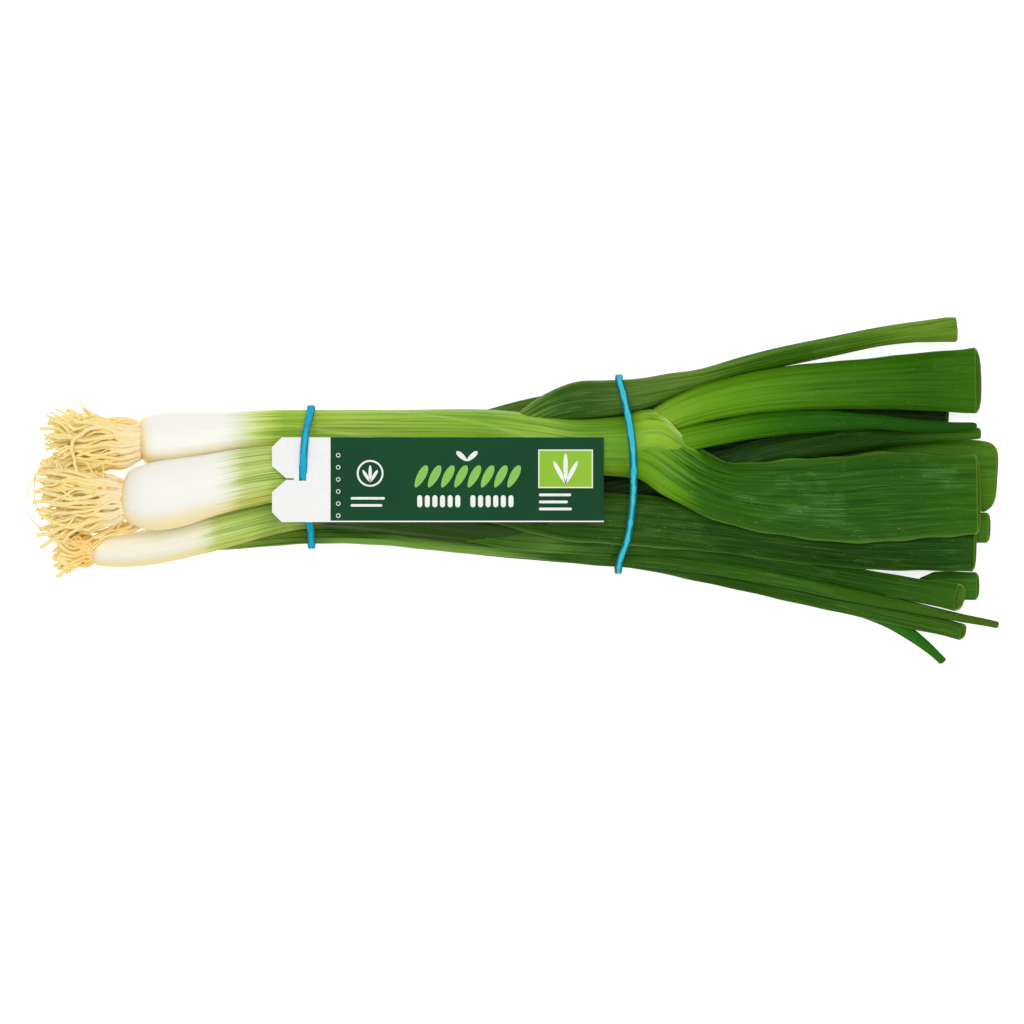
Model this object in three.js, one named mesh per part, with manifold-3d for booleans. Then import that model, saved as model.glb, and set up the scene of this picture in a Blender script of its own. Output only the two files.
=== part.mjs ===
// A bunch of three spring onions lying on a flat surface. Each onion has a root tuft, a white bulb that
// runs into a green shank, and hollow leaves cut square at the far end. Two elastic bands hold the bunch,
// and a card tag is hooked on the band nearer the roots.
// Millimetres, +Z up, +X from the roots to the cut leaf ends, +Y across the bunch.
import * as THREE from "three";
import { mergeVertices } from "three/addons/utils/BufferGeometryUtils.js";
import Module from "manifold-3d";

const wasm = await Module();
wasm.setup();

// Driving dimensions
const CLEARANCE = 0.35; // free gap that each piece keeps to its neighbours
const LEAF_WALL = 0.75; // thickness of a hollow leaf's wall
const LEAF_BORE_DEPTH = 9; // how far the open cut end of a leaf is bored
const LEAF_SIDES = 12;
const SHANK_SIDES = 16;
const RING_STEP = 11; // distance between the rings of a leaf or shank

const TAG_LEFT = -71.4;
const TAG_RIGHT = 27.3;
const TAG_BOTTOM = -9.3;
const TAG_TOP = 15.9;
const TAG_UNDERSIDE = 25.7;
const TAG_THICKNESS = 0.5;
const TAG_CORNER = 2.9; // chamfer of the tag's corners at the hooked end
const NOTCH_Y = 3.5; // height of the notch's point on the tag
const NOTCH_DEPTH = 4.2;
const NOTCH_HALF = 3.9;
const SLIT_HALF = 0.25; // half width of the slit that runs in from the notch
const SLOT_LEFT = -64.9; // the slot at the slit's end, which the band passes through
const SLOT_RIGHT = -61.2;
const SLOT_LOW = 3.0;
const SLOT_HIGH = 7.6;

const BAND_WIDTH = 2.2;
const BAND_THICKNESS = 1.0;
const BAND_STEPS = 52;
const BAND_SLACK = 0.15; // what the straight steps of a band may cut off its corners
const BAND_SWING_BLEND = 4; // height over which a band's swing sets in, each side of the middle
const BAND_RELEASE_HEIGHT = 14; // above this the first band leaves the stems for the tag
const BAND_SECTION = [
  [1, -0.6],
  [0.7, -1],
  [-0.7, -1],
  [-1, -0.6],
  [-1, 0.6],
  [-0.7, 1],
  [0.7, 1],
  [1, 0.6],
]; // corners of a band's section, as parts of its half width and half thickness

// Each shank runs from the basal plate, where the roots grow, to where its leaves part.
// A row is [x, y, z, half width, half thickness, roll in degrees].
const UPPER_SHANK = [
  [-112.0, 15.0, 8.4, 4.8, 4.8, 0],
  [-110.6, 15.1, 8.3, 6.8, 6.8, 0],
  [-107.5, 15.4, 8.1, 7.8, 7.8, 0],
  [-102.5, 15.9, 7.9, 8.2, 8.2, 0],
  [-95.0, 16.6, 7.8, 7.5, 7.5, 0],
  [-86.0, 17.3, 7.7, 6.6, 6.6, 0],
  [-76.0, 17.9, 7.9, 6.2, 6.2, 0],
  [-61.5, 18.2, 8.2, 6.2, 6.2, 0],
  [-34.0, 17.8, 10.2, 6.7, 6.7, 0],
  [-10.0, 17.3, 13.0, 7.2, 7.2, 0],
  [6.0, 15.6, 14.8, 7.5, 7.3, 0],
  [19.0, 13.5, 16.4, 7.9, 7.5, 0],
  [34.6, 13.2, 17.4, 9.2, 7.4, 0],
];
const MIDDLE_SHANK = [
  [-116.7, -2.2, 14.0, 5.0, 5.0, 0],
  [-115.2, -2.3, 14.1, 7.2, 7.2, 0],
  [-111.8, -2.0, 14.3, 9.2, 9.2, 0],
  [-106.5, -1.6, 14.9, 10.2, 10.2, 0],
  [-100.0, -0.5, 15.2, 10.1, 10.1, 0],
  [-91.0, 1.6, 14.6, 9.2, 9.2, 0],
  [-80.0, 3.9, 14.6, 8.7, 8.7, 0],
  [-70.0, 5.4, 15.4, 8.2, 8.2, 0],
  [-58.0, 6.1, 16.0, 7.7, 7.7, 0],
  [-40.0, 4.6, 15.8, 7.5, 7.5, 0],
  [-18.0, 1.8, 14.8, 7.6, 7.4, 0],
  [0.0, -1.6, 13.6, 8.2, 6.8, 0],
  [12.0, -3.6, 12.6, 8.8, 5.8, 0],
];
const LOWER_SHANK = [
  [-126.6, -18.1, 4.9, 3.0, 3.0, 0],
  [-125.2, -18.2, 4.9, 4.1, 4.1, 0],
  [-120.6, -18.2, 4.8, 4.7, 4.7, 0],
  [-113.0, -17.5, 5.0, 5.2, 5.2, 0],
  [-104.0, -15.8, 5.2, 5.5, 5.5, 0],
  [-93.0, -13.0, 5.5, 5.6, 5.6, 0],
  [-82.0, -10.2, 6.2, 5.5, 5.5, 0],
  [-71.0, -7.5, 7.1, 5.4, 5.4, 0],
  [-60.0, -6.0, 7.5, 5.4, 5.4, 0],
  [-40.0, -7.2, 7.4, 5.5, 5.4, 0],
  [-18.0, -9.6, 7.1, 5.5, 5.0, 0],
  [2.0, -12.0, 6.6, 5.2, 4.4, 0],
];

// The mouth of the upper onion's outer sheath flares behind the second band, and is open on a slant.
const UPPER_MOUTH = [
  [35.2, 13.2, 17.4, 9.2, 7.4, 0],
  [37.4, 13.3, 17.6, 9.8, 7.4, 0],
  [40.4, 13.6, 17.8, 10.6, 7.1, 0],
  [44.5, 12.4, 17.9, 11.4, 6.6, 0],
  [50.0, 9.6, 17.3, 8.4, 4.6, 0],
  [56.0, 7.0, 16.7, 5.6, 3.4, 0],
  [60.0, 5.6, 16.3, 3.6, 2.4, 0],
];
const MOUTH_RIM_START = [42.9, 25.2]; // the slanted rim passes through these two points of the XY plane
const MOUTH_RIM_END = [55.5, 11.7];

// The leaves, in the order in which they are laid: an earlier leaf keeps its form, and a later one is
// pressed in where it meets one. A leaf with a slant is bored at its cut end, where its lower wall
// reaches that much further than its upper one. The slimmest leaves show no hollow.
const LEAVES = [
  {
    name: "leaf_upper_outer",
    slant: 1.8,
    rows: [
      [35.2, 13.2, 17.4, 9.2, 7.4, 0],
      [40.0, 11.6, 17.7, 9.9, 7.1, 0],
      [45.0, 8.8, 17.7, 10.2, 6.4, 0],
      [50.0, 5.6, 17.4, 9.6, 5.5, 0],
      [56.0, 2.4, 16.8, 8.9, 4.5, 0],
      [64.0, -0.2, 15.9, 9.0, 3.7, 0],
      [73.0, -1.6, 14.9, 10.3, 3.4, 0],
      [84.0, -2.4, 13.8, 11.7, 3.2, 0],
      [96.0, -2.6, 12.9, 12.8, 3.1, 0],
      [108.0, -1.9, 12.1, 13.6, 3.0, 0],
      [118.0, -1.5, 11.5, 13.4, 3.0, 0],
      [128.0, -1.3, 11.0, 12.4, 3.0, 0],
      [141.2, -1.1, 10.4, 12.0, 3.0, 0],
    ],
  },
  {
    name: "leaf_upper_inner",
    slant: 3,
    rows: [
      [38.0, 16.0, 18.0, 4.0, 4.0, 0],
      [46.0, 21.6, 18.0, 4.5, 4.2, 0],
      [54.0, 25.0, 17.8, 5.2, 4.4, 0],
      [64.0, 27.8, 17.0, 5.8, 4.5, 0],
      [76.0, 29.9, 15.8, 6.4, 4.6, 0],
      [92.0, 31.3, 14.0, 7.1, 4.7, 0],
      [108.0, 32.2, 12.4, 7.8, 4.7, 0],
      [124.0, 32.9, 11.0, 8.9, 4.6, 0],
      [141.6, 33.2, 9.9, 10.0, 4.4, 0],
    ],
  },
  {
    name: "leaf_upper_side",
    slant: 1,
    rows: [
      [2.0, 19.6, 14.4, 3.4, 3.4, 0],
      [11.5, 24.4, 15.2, 5.0, 4.2, 8],
      [19.0, 26.4, 16.0, 6.0, 4.2, 12],
      [28.0, 27.2, 16.6, 6.0, 3.9, 15],
      [36.0, 28.2, 16.9, 5.4, 3.4, 22],
      [46.0, 30.7, 17.0, 4.8, 2.7, 38],
      [57.0, 33.6, 16.8, 4.5, 2.2, 58],
      [68.0, 37.2, 16.2, 4.3, 2.3, 66],
      [80.0, 40.0, 15.2, 4.1, 2.5, 58],
      [95.0, 43.1, 13.6, 3.7, 2.5, 52],
      [110.0, 46.2, 12.0, 3.4, 2.4, 50],
      [122.0, 47.7, 10.9, 3.5, 2.5, 40],
      [134.2, 48.6, 10.0, 3.8, 2.9, 20],
    ],
  },
  {
    name: "leaf_upper_slim",
    rows: [
      [44.0, 14.0, 18.2, 3.2, 3.0, 0],
      [52.0, 15.4, 18.6, 3.7, 3.2, 0],
      [63.0, 17.7, 17.8, 3.6, 3.0, 0],
      [75.0, 19.7, 16.4, 3.7, 2.9, 0],
      [92.0, 21.0, 14.4, 3.3, 2.6, 0],
      [108.0, 20.7, 12.8, 2.3, 2.2, 0],
      [124.0, 19.3, 11.4, 1.8, 1.8, 0],
      [139.5, 19.4, 10.0, 1.1, 1.1, 0],
    ],
  },
  {
    name: "leaf_middle_outer",
    slant: 1,
    rows: [
      [9.0, -6.0, 13.6, 4.4, 2.8, 0],
      [18.0, -7.6, 14.0, 6.8, 3.2, 0],
      [28.0, -8.2, 14.0, 7.6, 3.2, 0],
      [40.0, -9.0, 13.4, 7.7, 3.1, 0],
      [54.0, -10.4, 11.8, 7.4, 3.0, 0],
      [68.0, -12.0, 10.2, 7.3, 3.0, 0],
      [84.0, -14.0, 8.8, 7.5, 2.9, 0],
      [104.0, -15.8, 7.6, 7.5, 2.8, 0],
      [122.0, -16.6, 7.2, 7.4, 2.7, 0],
      [140.0, -17.0, 7.0, 7.3, 2.7, 0],
    ],
  },
  {
    name: "leaf_lower_outer",
    slant: 2,
    rows: [
      [-92.0, -16.6, 4.8, 1.4, 1.6, 0],
      [-82.0, -15.2, 4.4, 2.2, 2.2, 0],
      [-70.0, -13.6, 4.6, 2.7, 2.4, 0],
      [-58.0, -13.0, 5.0, 2.8, 2.4, 0],
      [-40.0, -13.4, 5.6, 2.8, 2.4, 0],
      [-20.0, -15.2, 6.0, 3.2, 2.4, 0],
      [0.0, -16.6, 6.4, 3.4, 2.2, 0],
      [20.0, -18.4, 6.6, 3.5, 2.1, 0],
      [38.0, -20.2, 6.6, 3.2, 2.0, 0],
      [56.0, -24.3, 6.0, 2.7, 1.9, 0],
      [80.0, -30.1, 4.8, 2.4, 1.8, 0],
      [98.4, -34.1, 3.8, 2.5, 1.7, 0],
      [119.4, -38.7, 3.1, 2.6, 1.7, 0],
      [137.2, -42.4, 2.5, 2.6, 1.7, 0],
    ],
  },
  {
    name: "leaf_lower_top",
    slant: 3.5,
    rows: [
      [-2.0, -14.0, 8.6, 3.6, 2.2, 0],
      [16.0, -14.6, 9.2, 4.2, 2.2, 0],
      [34.0, -15.6, 9.0, 4.3, 2.3, 0],
      [52.0, -17.8, 8.2, 3.8, 2.2, 0],
      [70.0, -20.6, 7.4, 3.2, 2.1, 0],
      [85.0, -22.9, 6.8, 2.9, 2.1, 0],
      [98.4, -25.3, 6.4, 2.8, 2.0, 0],
      [112.0, -27.9, 6.3, 3.2, 2.1, 0],
      [125.4, -30.4, 6.3, 3.6, 2.2, 0],
      [136.6, -32.0, 6.3, 4.1, 2.3, 0],
    ],
  },
  {
    name: "leaf_lower_slim",
    rows: [
      [30.0, -20.2, 9.0, 1.5, 1.4, 0],
      [46.0, -21.4, 9.2, 2.0, 1.7, 0],
      [64.0, -23.6, 8.6, 2.2, 1.7, 0],
      [82.0, -26.9, 7.5, 2.2, 1.6, 0],
      [100.0, -30.7, 6.3, 2.1, 1.5, 0],
      [119.4, -34.7, 5.2, 1.7, 1.2, 0],
      [132.0, -37.5, 4.3, 1.35, 1.0, 0],
      [146.7, -40.3, 3.2, 1.0, 0.8, 0],
    ],
  },
  {
    name: "leaf_middle_slim",
    rows: [
      [8.0, -2.0, 11.0, 3.2, 2.0, 0],
      [24.0, -0.8, 9.0, 4.0, 2.4, 0],
      [42.0, 1.8, 9.3, 4.2, 2.5, 0],
      [60.0, 6.4, 10.4, 4.3, 2.6, 0],
      [80.0, 11.6, 10.2, 4.1, 2.6, 0],
      [102.0, 15.2, 9.0, 3.2, 2.2, 0],
      [122.0, 16.7, 7.8, 2.4, 1.8, 0],
      [141.0, 17.4, 6.8, 1.8, 1.4, 0],
    ],
  },
  {
    name: "leaf_middle_wide",
    slant: 1,
    rows: [
      [8.5, 0.4, 11.0, 3.0, 1.8, 0],
      [17.0, 3.6, 7.4, 5.4, 2.4, 0],
      [26.0, 6.8, 5.4, 6.8, 2.8, 0],
      [38.0, 7.5, 4.8, 7.2, 2.9, 0],
      [56.0, 8.0, 4.6, 8.6, 2.9, 0],
      [78.0, 8.4, 4.2, 9.8, 2.9, 0],
      [100.0, 7.4, 3.6, 10.4, 2.9, 0],
      [124.0, 5.8, 2.9, 10.6, 2.8, 0],
      [146.7, 4.4, 2.5, 10.6, 2.8, 0],
    ],
  },
  {
    name: "leaf_upper_low",
    slant: 1,
    rows: [
      [-14.0, 19.6, 6.2, 3.2, 2.4, 0],
      [0.0, 22.0, 6.8, 4.4, 2.8, 0],
      [14.0, 24.2, 6.8, 5.2, 3.0, 0],
      [34.0, 24.4, 6.2, 5.9, 3.1, 0],
      [56.0, 25.4, 5.6, 6.2, 3.1, 0],
      [80.0, 25.2, 4.6, 6.0, 3.0, 0],
      [106.0, 23.4, 3.4, 5.4, 2.8, 0],
      [132.0, 21.6, 2.3, 4.8, 2.6, 0],
    ],
  },
  {
    name: "leaf_middle_low",
    slant: 1,
    rows: [
      [9.0, -6.0, 10.4, 3.2, 1.8, 0],
      [18.0, -6.8, 7.6, 4.8, 2.2, 0],
      [28.0, -7.4, 5.8, 5.4, 2.4, 0],
      [46.0, -7.8, 4.8, 5.4, 2.4, 0],
      [68.0, -8.8, 3.8, 5.2, 2.3, 0],
      [94.0, -10.2, 2.8, 4.8, 2.3, 0],
      [120.0, -10.8, 2.2, 4.6, 2.3, 0],
      [144.6, -11.0, 2.0, 4.5, 2.3, 0],
    ],
  },
  {
    name: "leaf_lower_broad",
    slant: 1,
    rows: [
      [0.0, -10.6, 4.0, 2.6, 1.8, 0],
      [18.0, -13.0, 3.8, 3.6, 2.0, 0],
      [38.0, -15.6, 3.6, 3.8, 2.0, 0],
      [60.0, -18.6, 3.2, 3.8, 2.0, 0],
      [84.0, -22.4, 2.6, 3.2, 1.9, 0],
      [106.0, -27.0, 2.0, 2.7, 1.8, 0],
      [119.0, -29.4, 1.9, 3.0, 1.8, 0],
      [124.6, -29.4, 1.9, 3.3, 1.8, 0],
      [127.4, -28.6, 1.9, 4.3, 1.9, 0],
      [141.2, -28.5, 1.9, 4.2, 2.0, 0],
    ],
  },
  {
    name: "leaf_lower_side",
    rows: [
      [-34.0, -12.8, 3.2, 1.8, 1.4, 0],
      [-16.0, -15.6, 3.2, 2.8, 1.6, 0],
      [2.0, -17.3, 3.3, 3.1, 1.6, 0],
      [20.0, -18.8, 3.4, 3.1, 1.6, 0],
      [38.0, -20.4, 3.4, 3.0, 1.6, 0],
      [58.0, -24.8, 2.9, 2.7, 1.6, 0],
      [80.0, -29.8, 2.2, 2.4, 1.5, 0],
      [98.0, -33.6, 1.6, 2.2, 1.4, 0],
      [111.0, -37.8, 1.3, 2.2, 1.2, 0],
      [119.4, -42.6, 1.3, 1.9, 1.2, 0],
      [126.9, -48.2, 1.3, 1.4, 1.2, 0],
      [130.6, -51.3, 1.3, 1.1, 1.1, 0],
    ],
  },
];

// Where the first band comes out from under the tag, rises through its slot and passes over it: [y, z].
const BAND_OVER_TAG = [
  [0.4, 23.6],
  [2.8, 24.2],
  [4.5, 25.3],
  [5.8, 26.4],
  [8.0, 27.2],
  [12.0, 27.3],
  [17.0, 27.1],
];
// A band lies round what crosses X from one value to another. Its route stands at base, and swings
// along X over the top of the bunch, within a span each side of the middle.
const ROOT_END_BAND = {
  from: -65,
  to: -58,
  base: -60.4,
  swing: -2.3,
  middle: 4,
  span: 20,
  over: BAND_OVER_TAG,
};
const LEAF_END_BAND = { from: 29, to: 39, base: 32, swing: 4.3, middle: 4, span: 29, over: [] };

// A root tuft grows from a basal plate at a point, and fans out towards -X. fan is how far it leans to
// +Y for each unit of reach, spread how far it opens across and in height, droop how far it sinks.
// Strays are long roots with a route of their own.
const TUFTS = [
  {
    name: "roots_lower",
    plate: [-127.0, -18.0, 4.9],
    plateRadius: 3.6,
    reach: 12.5,
    fan: 0.12,
    spread: [0.42, 0.12],
    droop: 1,
    count: 16,
    seed: 37,
    strays: [
      [
        [-127.4, -19.0, 4.6],
        [-130.0, -21.4, 3.8],
        [-132.4, -23.2, 2.8],
        [-134.4, -24.4, 1.9],
      ],
    ],
  },
  {
    name: "roots_upper",
    plate: [-112.4, 14.8, 8.4],
    plateRadius: 6.2,
    reach: 31,
    fan: 0.0,
    spread: [0.12, 0.06],
    droop: 1.5,
    count: 30,
    seed: 11,
    strays: [
      [
        [-113.0, 18.6, 10.4],
        [-124.0, 20.0, 9.8],
        [-132.0, 21.6, 8.2],
        [-136.4, 24.2, 6.4],
      ],
      [
        [-113.0, 18.0, 12.0],
        [-120.0, 19.4, 12.6],
        [-127.0, 21.0, 11.6],
        [-130.0, 22.6, 10.4],
      ],
    ],
  },
  {
    name: "roots_middle",
    plate: [-117.1, -2.6, 14.0],
    plateRadius: 6.2,
    reach: 27,
    fan: -0.03,
    spread: [0.24, 0.1],
    droop: 6,
    count: 34,
    seed: 23,
    strays: [
      [
        [-118.0, 0.8, 14.4],
        [-134.0, 5.4, 12.6],
        [-142.4, 5.4, 9.4],
        [-146.6, -2.6, 6.0],
      ],
      [
        [-118.0, -6.4, 13.0],
        [-136.0, -12.4, 9.4],
        [-142.4, -10.6, 7.2],
        [-146.0, -6.8, 6.0],
      ],
    ],
  },
];
const ROOT_RADIUS = 0.9;
const ROOT_TIP_RADIUS = 0.45;
const ROOT_SIDES = 3;
const ROOT_SEGMENTS = 3;
const ROOT_STRAY = 0.12; // how far a root may lean off the fan, for each unit of its length
const ROOT_WANDER = 1.8;
const ROOT_LOWEST = 1.3; // no root's middle line sinks below this height
const PLATE_FILL = 0.86; // roots leave the plate within this part of its radius

const LEAF_GREEN = new THREE.MeshStandardMaterial({ color: 0x2f6a14, roughness: 0.5, metalness: 0 });
const SHANK_PALE = new THREE.MeshStandardMaterial({ color: 0xd9e3a6, roughness: 0.4, metalness: 0 });
const ROOT_STRAW = new THREE.MeshStandardMaterial({ color: 0xecd08c, roughness: 0.8, metalness: 0 });
const BAND_BLUE = new THREE.MeshStandardMaterial({ color: 0x1fa0cf, roughness: 0.55, metalness: 0 });
const TAG_CARD = new THREE.MeshStandardMaterial({ color: 0x1d5a34, roughness: 0.45, metalness: 0 });

const UP = new THREE.Vector3(0, 0, 1);

// Rings of points become one closed surface, with a fan over the first ring and over the last.
function closedSurface(rings) {
  const sides = rings[0].length;
  const centre = (ring) => ring.reduce((sum, p) => sum.add(p), new THREE.Vector3()).divideScalar(sides);
  const points = [...rings.flat(), centre(rings[0]), centre(rings.at(-1))];
  const firstCentre = rings.length * sides;
  const lastRing = (rings.length - 1) * sides;
  const faces = [];
  for (let j = 0; j < sides; j++) {
    const next = (j + 1) % sides;
    faces.push(firstCentre, next, j);
    faces.push(firstCentre + 1, lastRing + j, lastRing + next);
    for (let i = 0; i < rings.length - 1; i++) {
      const here = i * sides;
      const ahead = here + sides;
      faces.push(here + j, here + next, ahead + next);
      faces.push(here + j, ahead + next, ahead + j);
    }
  }
  return new THREE.BufferGeometry().setFromPoints(points).setIndex(faces);
}

// A closed, indexed geometry as a manifold solid.
function solidOf(geometry) {
  const bare = geometry.clone();
  bare.deleteAttribute("normal");
  bare.deleteAttribute("uv");
  const merged = mergeVertices(bare, 1e-4);
  return new wasm.Manifold(
    new wasm.Mesh({
      numProp: 3,
      vertProperties: merged.attributes.position.array,
      triVerts: new Uint32Array(merged.index.array),
    }),
  );
}

// The largest body of a solid as a geometry: loose scraps that a cut leaves are dropped.
function geometryOf(solid) {
  const bodies = solid.decompose().sort((a, b) => b.volume() - a.volume());
  const mesh = bodies[0].getMesh();
  const positions = new Float32Array(mesh.numVert * 3);
  for (let i = 0; i < mesh.numVert; i++) {
    positions.set(mesh.vertProperties.subarray(i * mesh.numProp, i * mesh.numProp + 3), i * 3);
  }
  return new THREE.BufferGeometry()
    .setAttribute("position", new THREE.BufferAttribute(positions, 3))
    .setIndex(new THREE.BufferAttribute(mesh.triVerts, 1));
}

// One ring of a stem or leaf, an ellipse across its route.
function ringAt(place, tangent, halfWidth, halfThickness, roll, sides) {
  const side = new THREE.Vector3().crossVectors(UP, tangent).normalize();
  const lift = new THREE.Vector3().crossVectors(tangent, side);
  side.applyAxisAngle(tangent, roll);
  lift.applyAxisAngle(tangent, roll);
  return Array.from({ length: sides }, (_, j) => {
    const angle = (j / sides) * 2 * Math.PI;
    return place
      .clone()
      .addScaledVector(side, halfWidth * Math.cos(angle))
      .addScaledVector(lift, halfThickness * Math.sin(angle));
  });
}

// The rings of a stem or leaf along its rows, grown outwards by extra all round and at both ends.
function ringsAlong(rows, sides, extra = 0, step = RING_STEP) {
  const route = new THREE.CatmullRomCurve3(
    rows.map(([x, y, z]) => new THREE.Vector3(x, y, z)),
    false,
    "catmullrom",
  );
  const section = new THREE.CatmullRomCurve3(
    rows.map(([, , , width, thickness, roll]) => new THREE.Vector3(width, thickness, roll)),
    false,
    "catmullrom",
  );
  const last = rows.length - 1;
  const stops = [];
  rows.slice(0, -1).forEach(([x, y, z], i) => {
    const length = new THREE.Vector3(x, y, z).distanceTo(new THREE.Vector3(...rows[i + 1]));
    const steps = Math.max(1, Math.round(length / step));
    for (let k = 0; k < steps; k++) stops.push((i + k / steps) / last);
  });
  stops.push(1);
  return stops.map((t) => {
    const place = route.getPoint(t);
    const tangent = route.getTangent(t);
    const { x: width, y: thickness, z: roll } = section.getPoint(t);
    if (t === 0) place.addScaledVector(tangent, -extra);
    if (t === 1) place.addScaledVector(tangent, extra);
    return ringAt(place, tangent, width + extra, thickness + extra, THREE.MathUtils.degToRad(roll), sides);
  });
}

// A ring drawn in towards its own middle by the wall's thickness.
function insideOf(ring, wall) {
  const centre = ring.reduce((sum, p) => sum.add(p), new THREE.Vector3()).divideScalar(ring.length);
  return ring.map((p) => {
    const out = p.clone().sub(centre);
    return centre.clone().addScaledVector(out, 1 - wall / out.length());
  });
}

// The same ring with its upper points drawn back, for an end that is cut on a slant.
function slanted(ring, slant) {
  const heights = ring.map((p) => p.z);
  const low = Math.min(...heights);
  const high = Math.max(...heights);
  return ring.map((p) => new THREE.Vector3(p.x - (slant * (p.z - low)) / (high - low), p.y, p.z));
}

// A leaf, solid but for the bore at its cut end.
function leafSolid({ rows, slant }) {
  const rings = ringsAlong(rows, LEAF_SIDES);
  if (slant === undefined) return solidOf(closedSurface(rings));
  const end = rings.at(-1);
  const bored = insideOf(end, LEAF_WALL);
  const behind = insideOf(rings.at(-2), LEAF_WALL);
  const depth = Math.min(0.9, LEAF_BORE_DEPTH / end[0].distanceTo(rings.at(-2)[0]));
  const floor = bored.map((p, j) => p.clone().lerp(behind[j], depth));
  return solidOf(closedSurface([...rings.slice(0, -1), slanted(end, slant), slanted(bored, slant), floor]));
}

// The same stem or leaf with the free gap round it, for cutting what comes later.
const keepOut = (rows, sides) => solidOf(closedSurface(ringsAlong(rows, sides, CLEARANCE)));

// A box that reaches from one corner to another.
function boxSolid(low, high) {
  const size = new THREE.Vector3().subVectors(high, low);
  const box = new THREE.BoxGeometry(size.x, size.y, size.z);
  box.translate((low.x + high.x) / 2, (low.y + high.y) / 2, (low.z + high.z) / 2);
  return solidOf(box);
}

// Everything below the surface that the bunch lies on. Soft parts are pressed flat against it.
const belowSurface = boxSolid(new THREE.Vector3(-200, -100, -30), new THREE.Vector3(200, 100, 0));

// Everything beyond the slanted rim of the upper onion's outer sheath.
function beyondMouth() {
  const [x0, y0] = MOUTH_RIM_START;
  const [x1, y1] = MOUTH_RIM_END;
  const box = new THREE.BoxGeometry(60, 120, 60);
  box.translate(30, 0, 0);
  box.rotateZ(Math.atan2(y1 - y0, x1 - x0) + Math.PI / 2);
  box.translate((x0 + x1) / 2, (y0 + y1) / 2, 18);
  return solidOf(box);
}

const STEMS = [UPPER_SHANK, MIDDLE_SHANK, LOWER_SHANK, UPPER_MOUTH, ...LEAVES.map(({ rows }) => rows)];
const placed = []; // what later pieces keep clear of
const group = new THREE.Group();

// Cuts a piece clear of the surface and of all that is already placed, and adds it to the bunch.
function place(name, solid, material, guard) {
  let cut = solid.subtract(belowSurface);
  for (const other of placed) cut = cut.subtract(other);
  const mesh = new THREE.Mesh(geometryOf(cut), material);
  mesh.name = name;
  group.add(mesh);
  if (guard) placed.push(guard);
}

function shank(name, rows) {
  place(name, solidOf(closedSurface(ringsAlong(rows, SHANK_SIDES))), SHANK_PALE, keepOut(rows, SHANK_SIDES));
}

function leaf(spec) {
  place(spec.name, leafSolid(spec), LEAF_GREEN, keepOut(spec.rows, LEAF_SIDES));
}

// The upper onion's outer leaf grows out of the flared mouth of its own sheath.
function outerLeafWithMouth(spec) {
  const mouth = solidOf(closedSurface(ringsAlong(UPPER_MOUTH, SHANK_SIDES))).subtract(beyondMouth());
  const guard = keepOut(UPPER_MOUTH, SHANK_SIDES).subtract(beyondMouth().translate(CLEARANCE, CLEARANCE, 0));
  place(spec.name, leafSolid(spec).add(mouth), LEAF_GREEN, keepOut(spec.rows, LEAF_SIDES).add(guard));
}

// The outline of the hull round a set of [y, z] points.
function hullOf(points) {
  const sorted = [...points].sort((a, b) => a[0] - b[0] || a[1] - b[1]);
  const turn = (o, a, b) => (a[0] - o[0]) * (b[1] - o[1]) - (a[1] - o[1]) * (b[0] - o[0]);
  const half = (list) => {
    const chain = [];
    for (const p of list) {
      while (chain.length > 1 && turn(chain.at(-2), chain.at(-1), p) <= 0) chain.pop();
      chain.push(p);
    }
    return chain.slice(0, -1);
  };
  return [...half(sorted), ...half([...sorted].reverse())];
}

// Points round every stem and leaf within a stretch of X, a band's half thickness and a gap away.
function pointsRound(stems, from, to) {
  const found = [];
  for (const rows of stems) {
    for (const ring of ringsAlong(rows, SHANK_SIDES, CLEARANCE + BAND_SLACK + BAND_THICKNESS / 2, 2)) {
      const x = ring.reduce((sum, p) => sum + p.x, 0) / ring.length;
      if (x > from && x < to) ring.forEach((p) => found.push([p.y, p.z]));
    }
  }
  return found;
}

// A closed loop of points, resampled to even steps.
function evenLoop(points) {
  const closed = [...points, points[0]];
  const lengths = points.map((p, i) => p.distanceTo(closed[i + 1]));
  const total = lengths.reduce((sum, length) => sum + length, 0);
  return Array.from({ length: BAND_STEPS }, (_, k) => {
    let left = (k / BAND_STEPS) * total;
    let i = 0;
    while (left > lengths[i]) {
      left -= lengths[i];
      i += 1;
    }
    return closed[i].clone().lerp(closed[i + 1], left / lengths[i]);
  });
}

// The route of a band: its hull in the YZ plane, swung along X over the top of the bunch.
function bandRoute({ from, to, base, swing, middle, span, over }) {
  const hull = hullOf(pointsRound(STEMS, from, to));
  const free = over.length > 0 ? hull.filter(([y, z]) => z < BAND_RELEASE_HEIGHT || y < over[0][0]) : hull;
  const outline = [...free, ...over];
  const ys = outline.map(([y]) => y);
  const zs = outline.map(([, z]) => z);
  const centre = [(Math.min(...ys) + Math.max(...ys)) / 2, (Math.min(...zs) + Math.max(...zs)) / 2];
  const angle = ([y, z]) => Math.atan2(z - centre[1], y - centre[0]);
  outline.sort((a, b) => angle(a) - angle(b));
  const flat = outline.map(([y, z]) => new THREE.Vector3(base, y, z));
  return evenLoop(flat).map((p) => {
    const upper = THREE.MathUtils.smoothstep(p.z, centre[1] - BAND_SWING_BLEND, centre[1] + BAND_SWING_BLEND);
    const rise = Math.max(0, 1 - ((p.y - middle) / span) ** 2);
    return p.setX(base + swing * rise * upper);
  });
}

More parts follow.
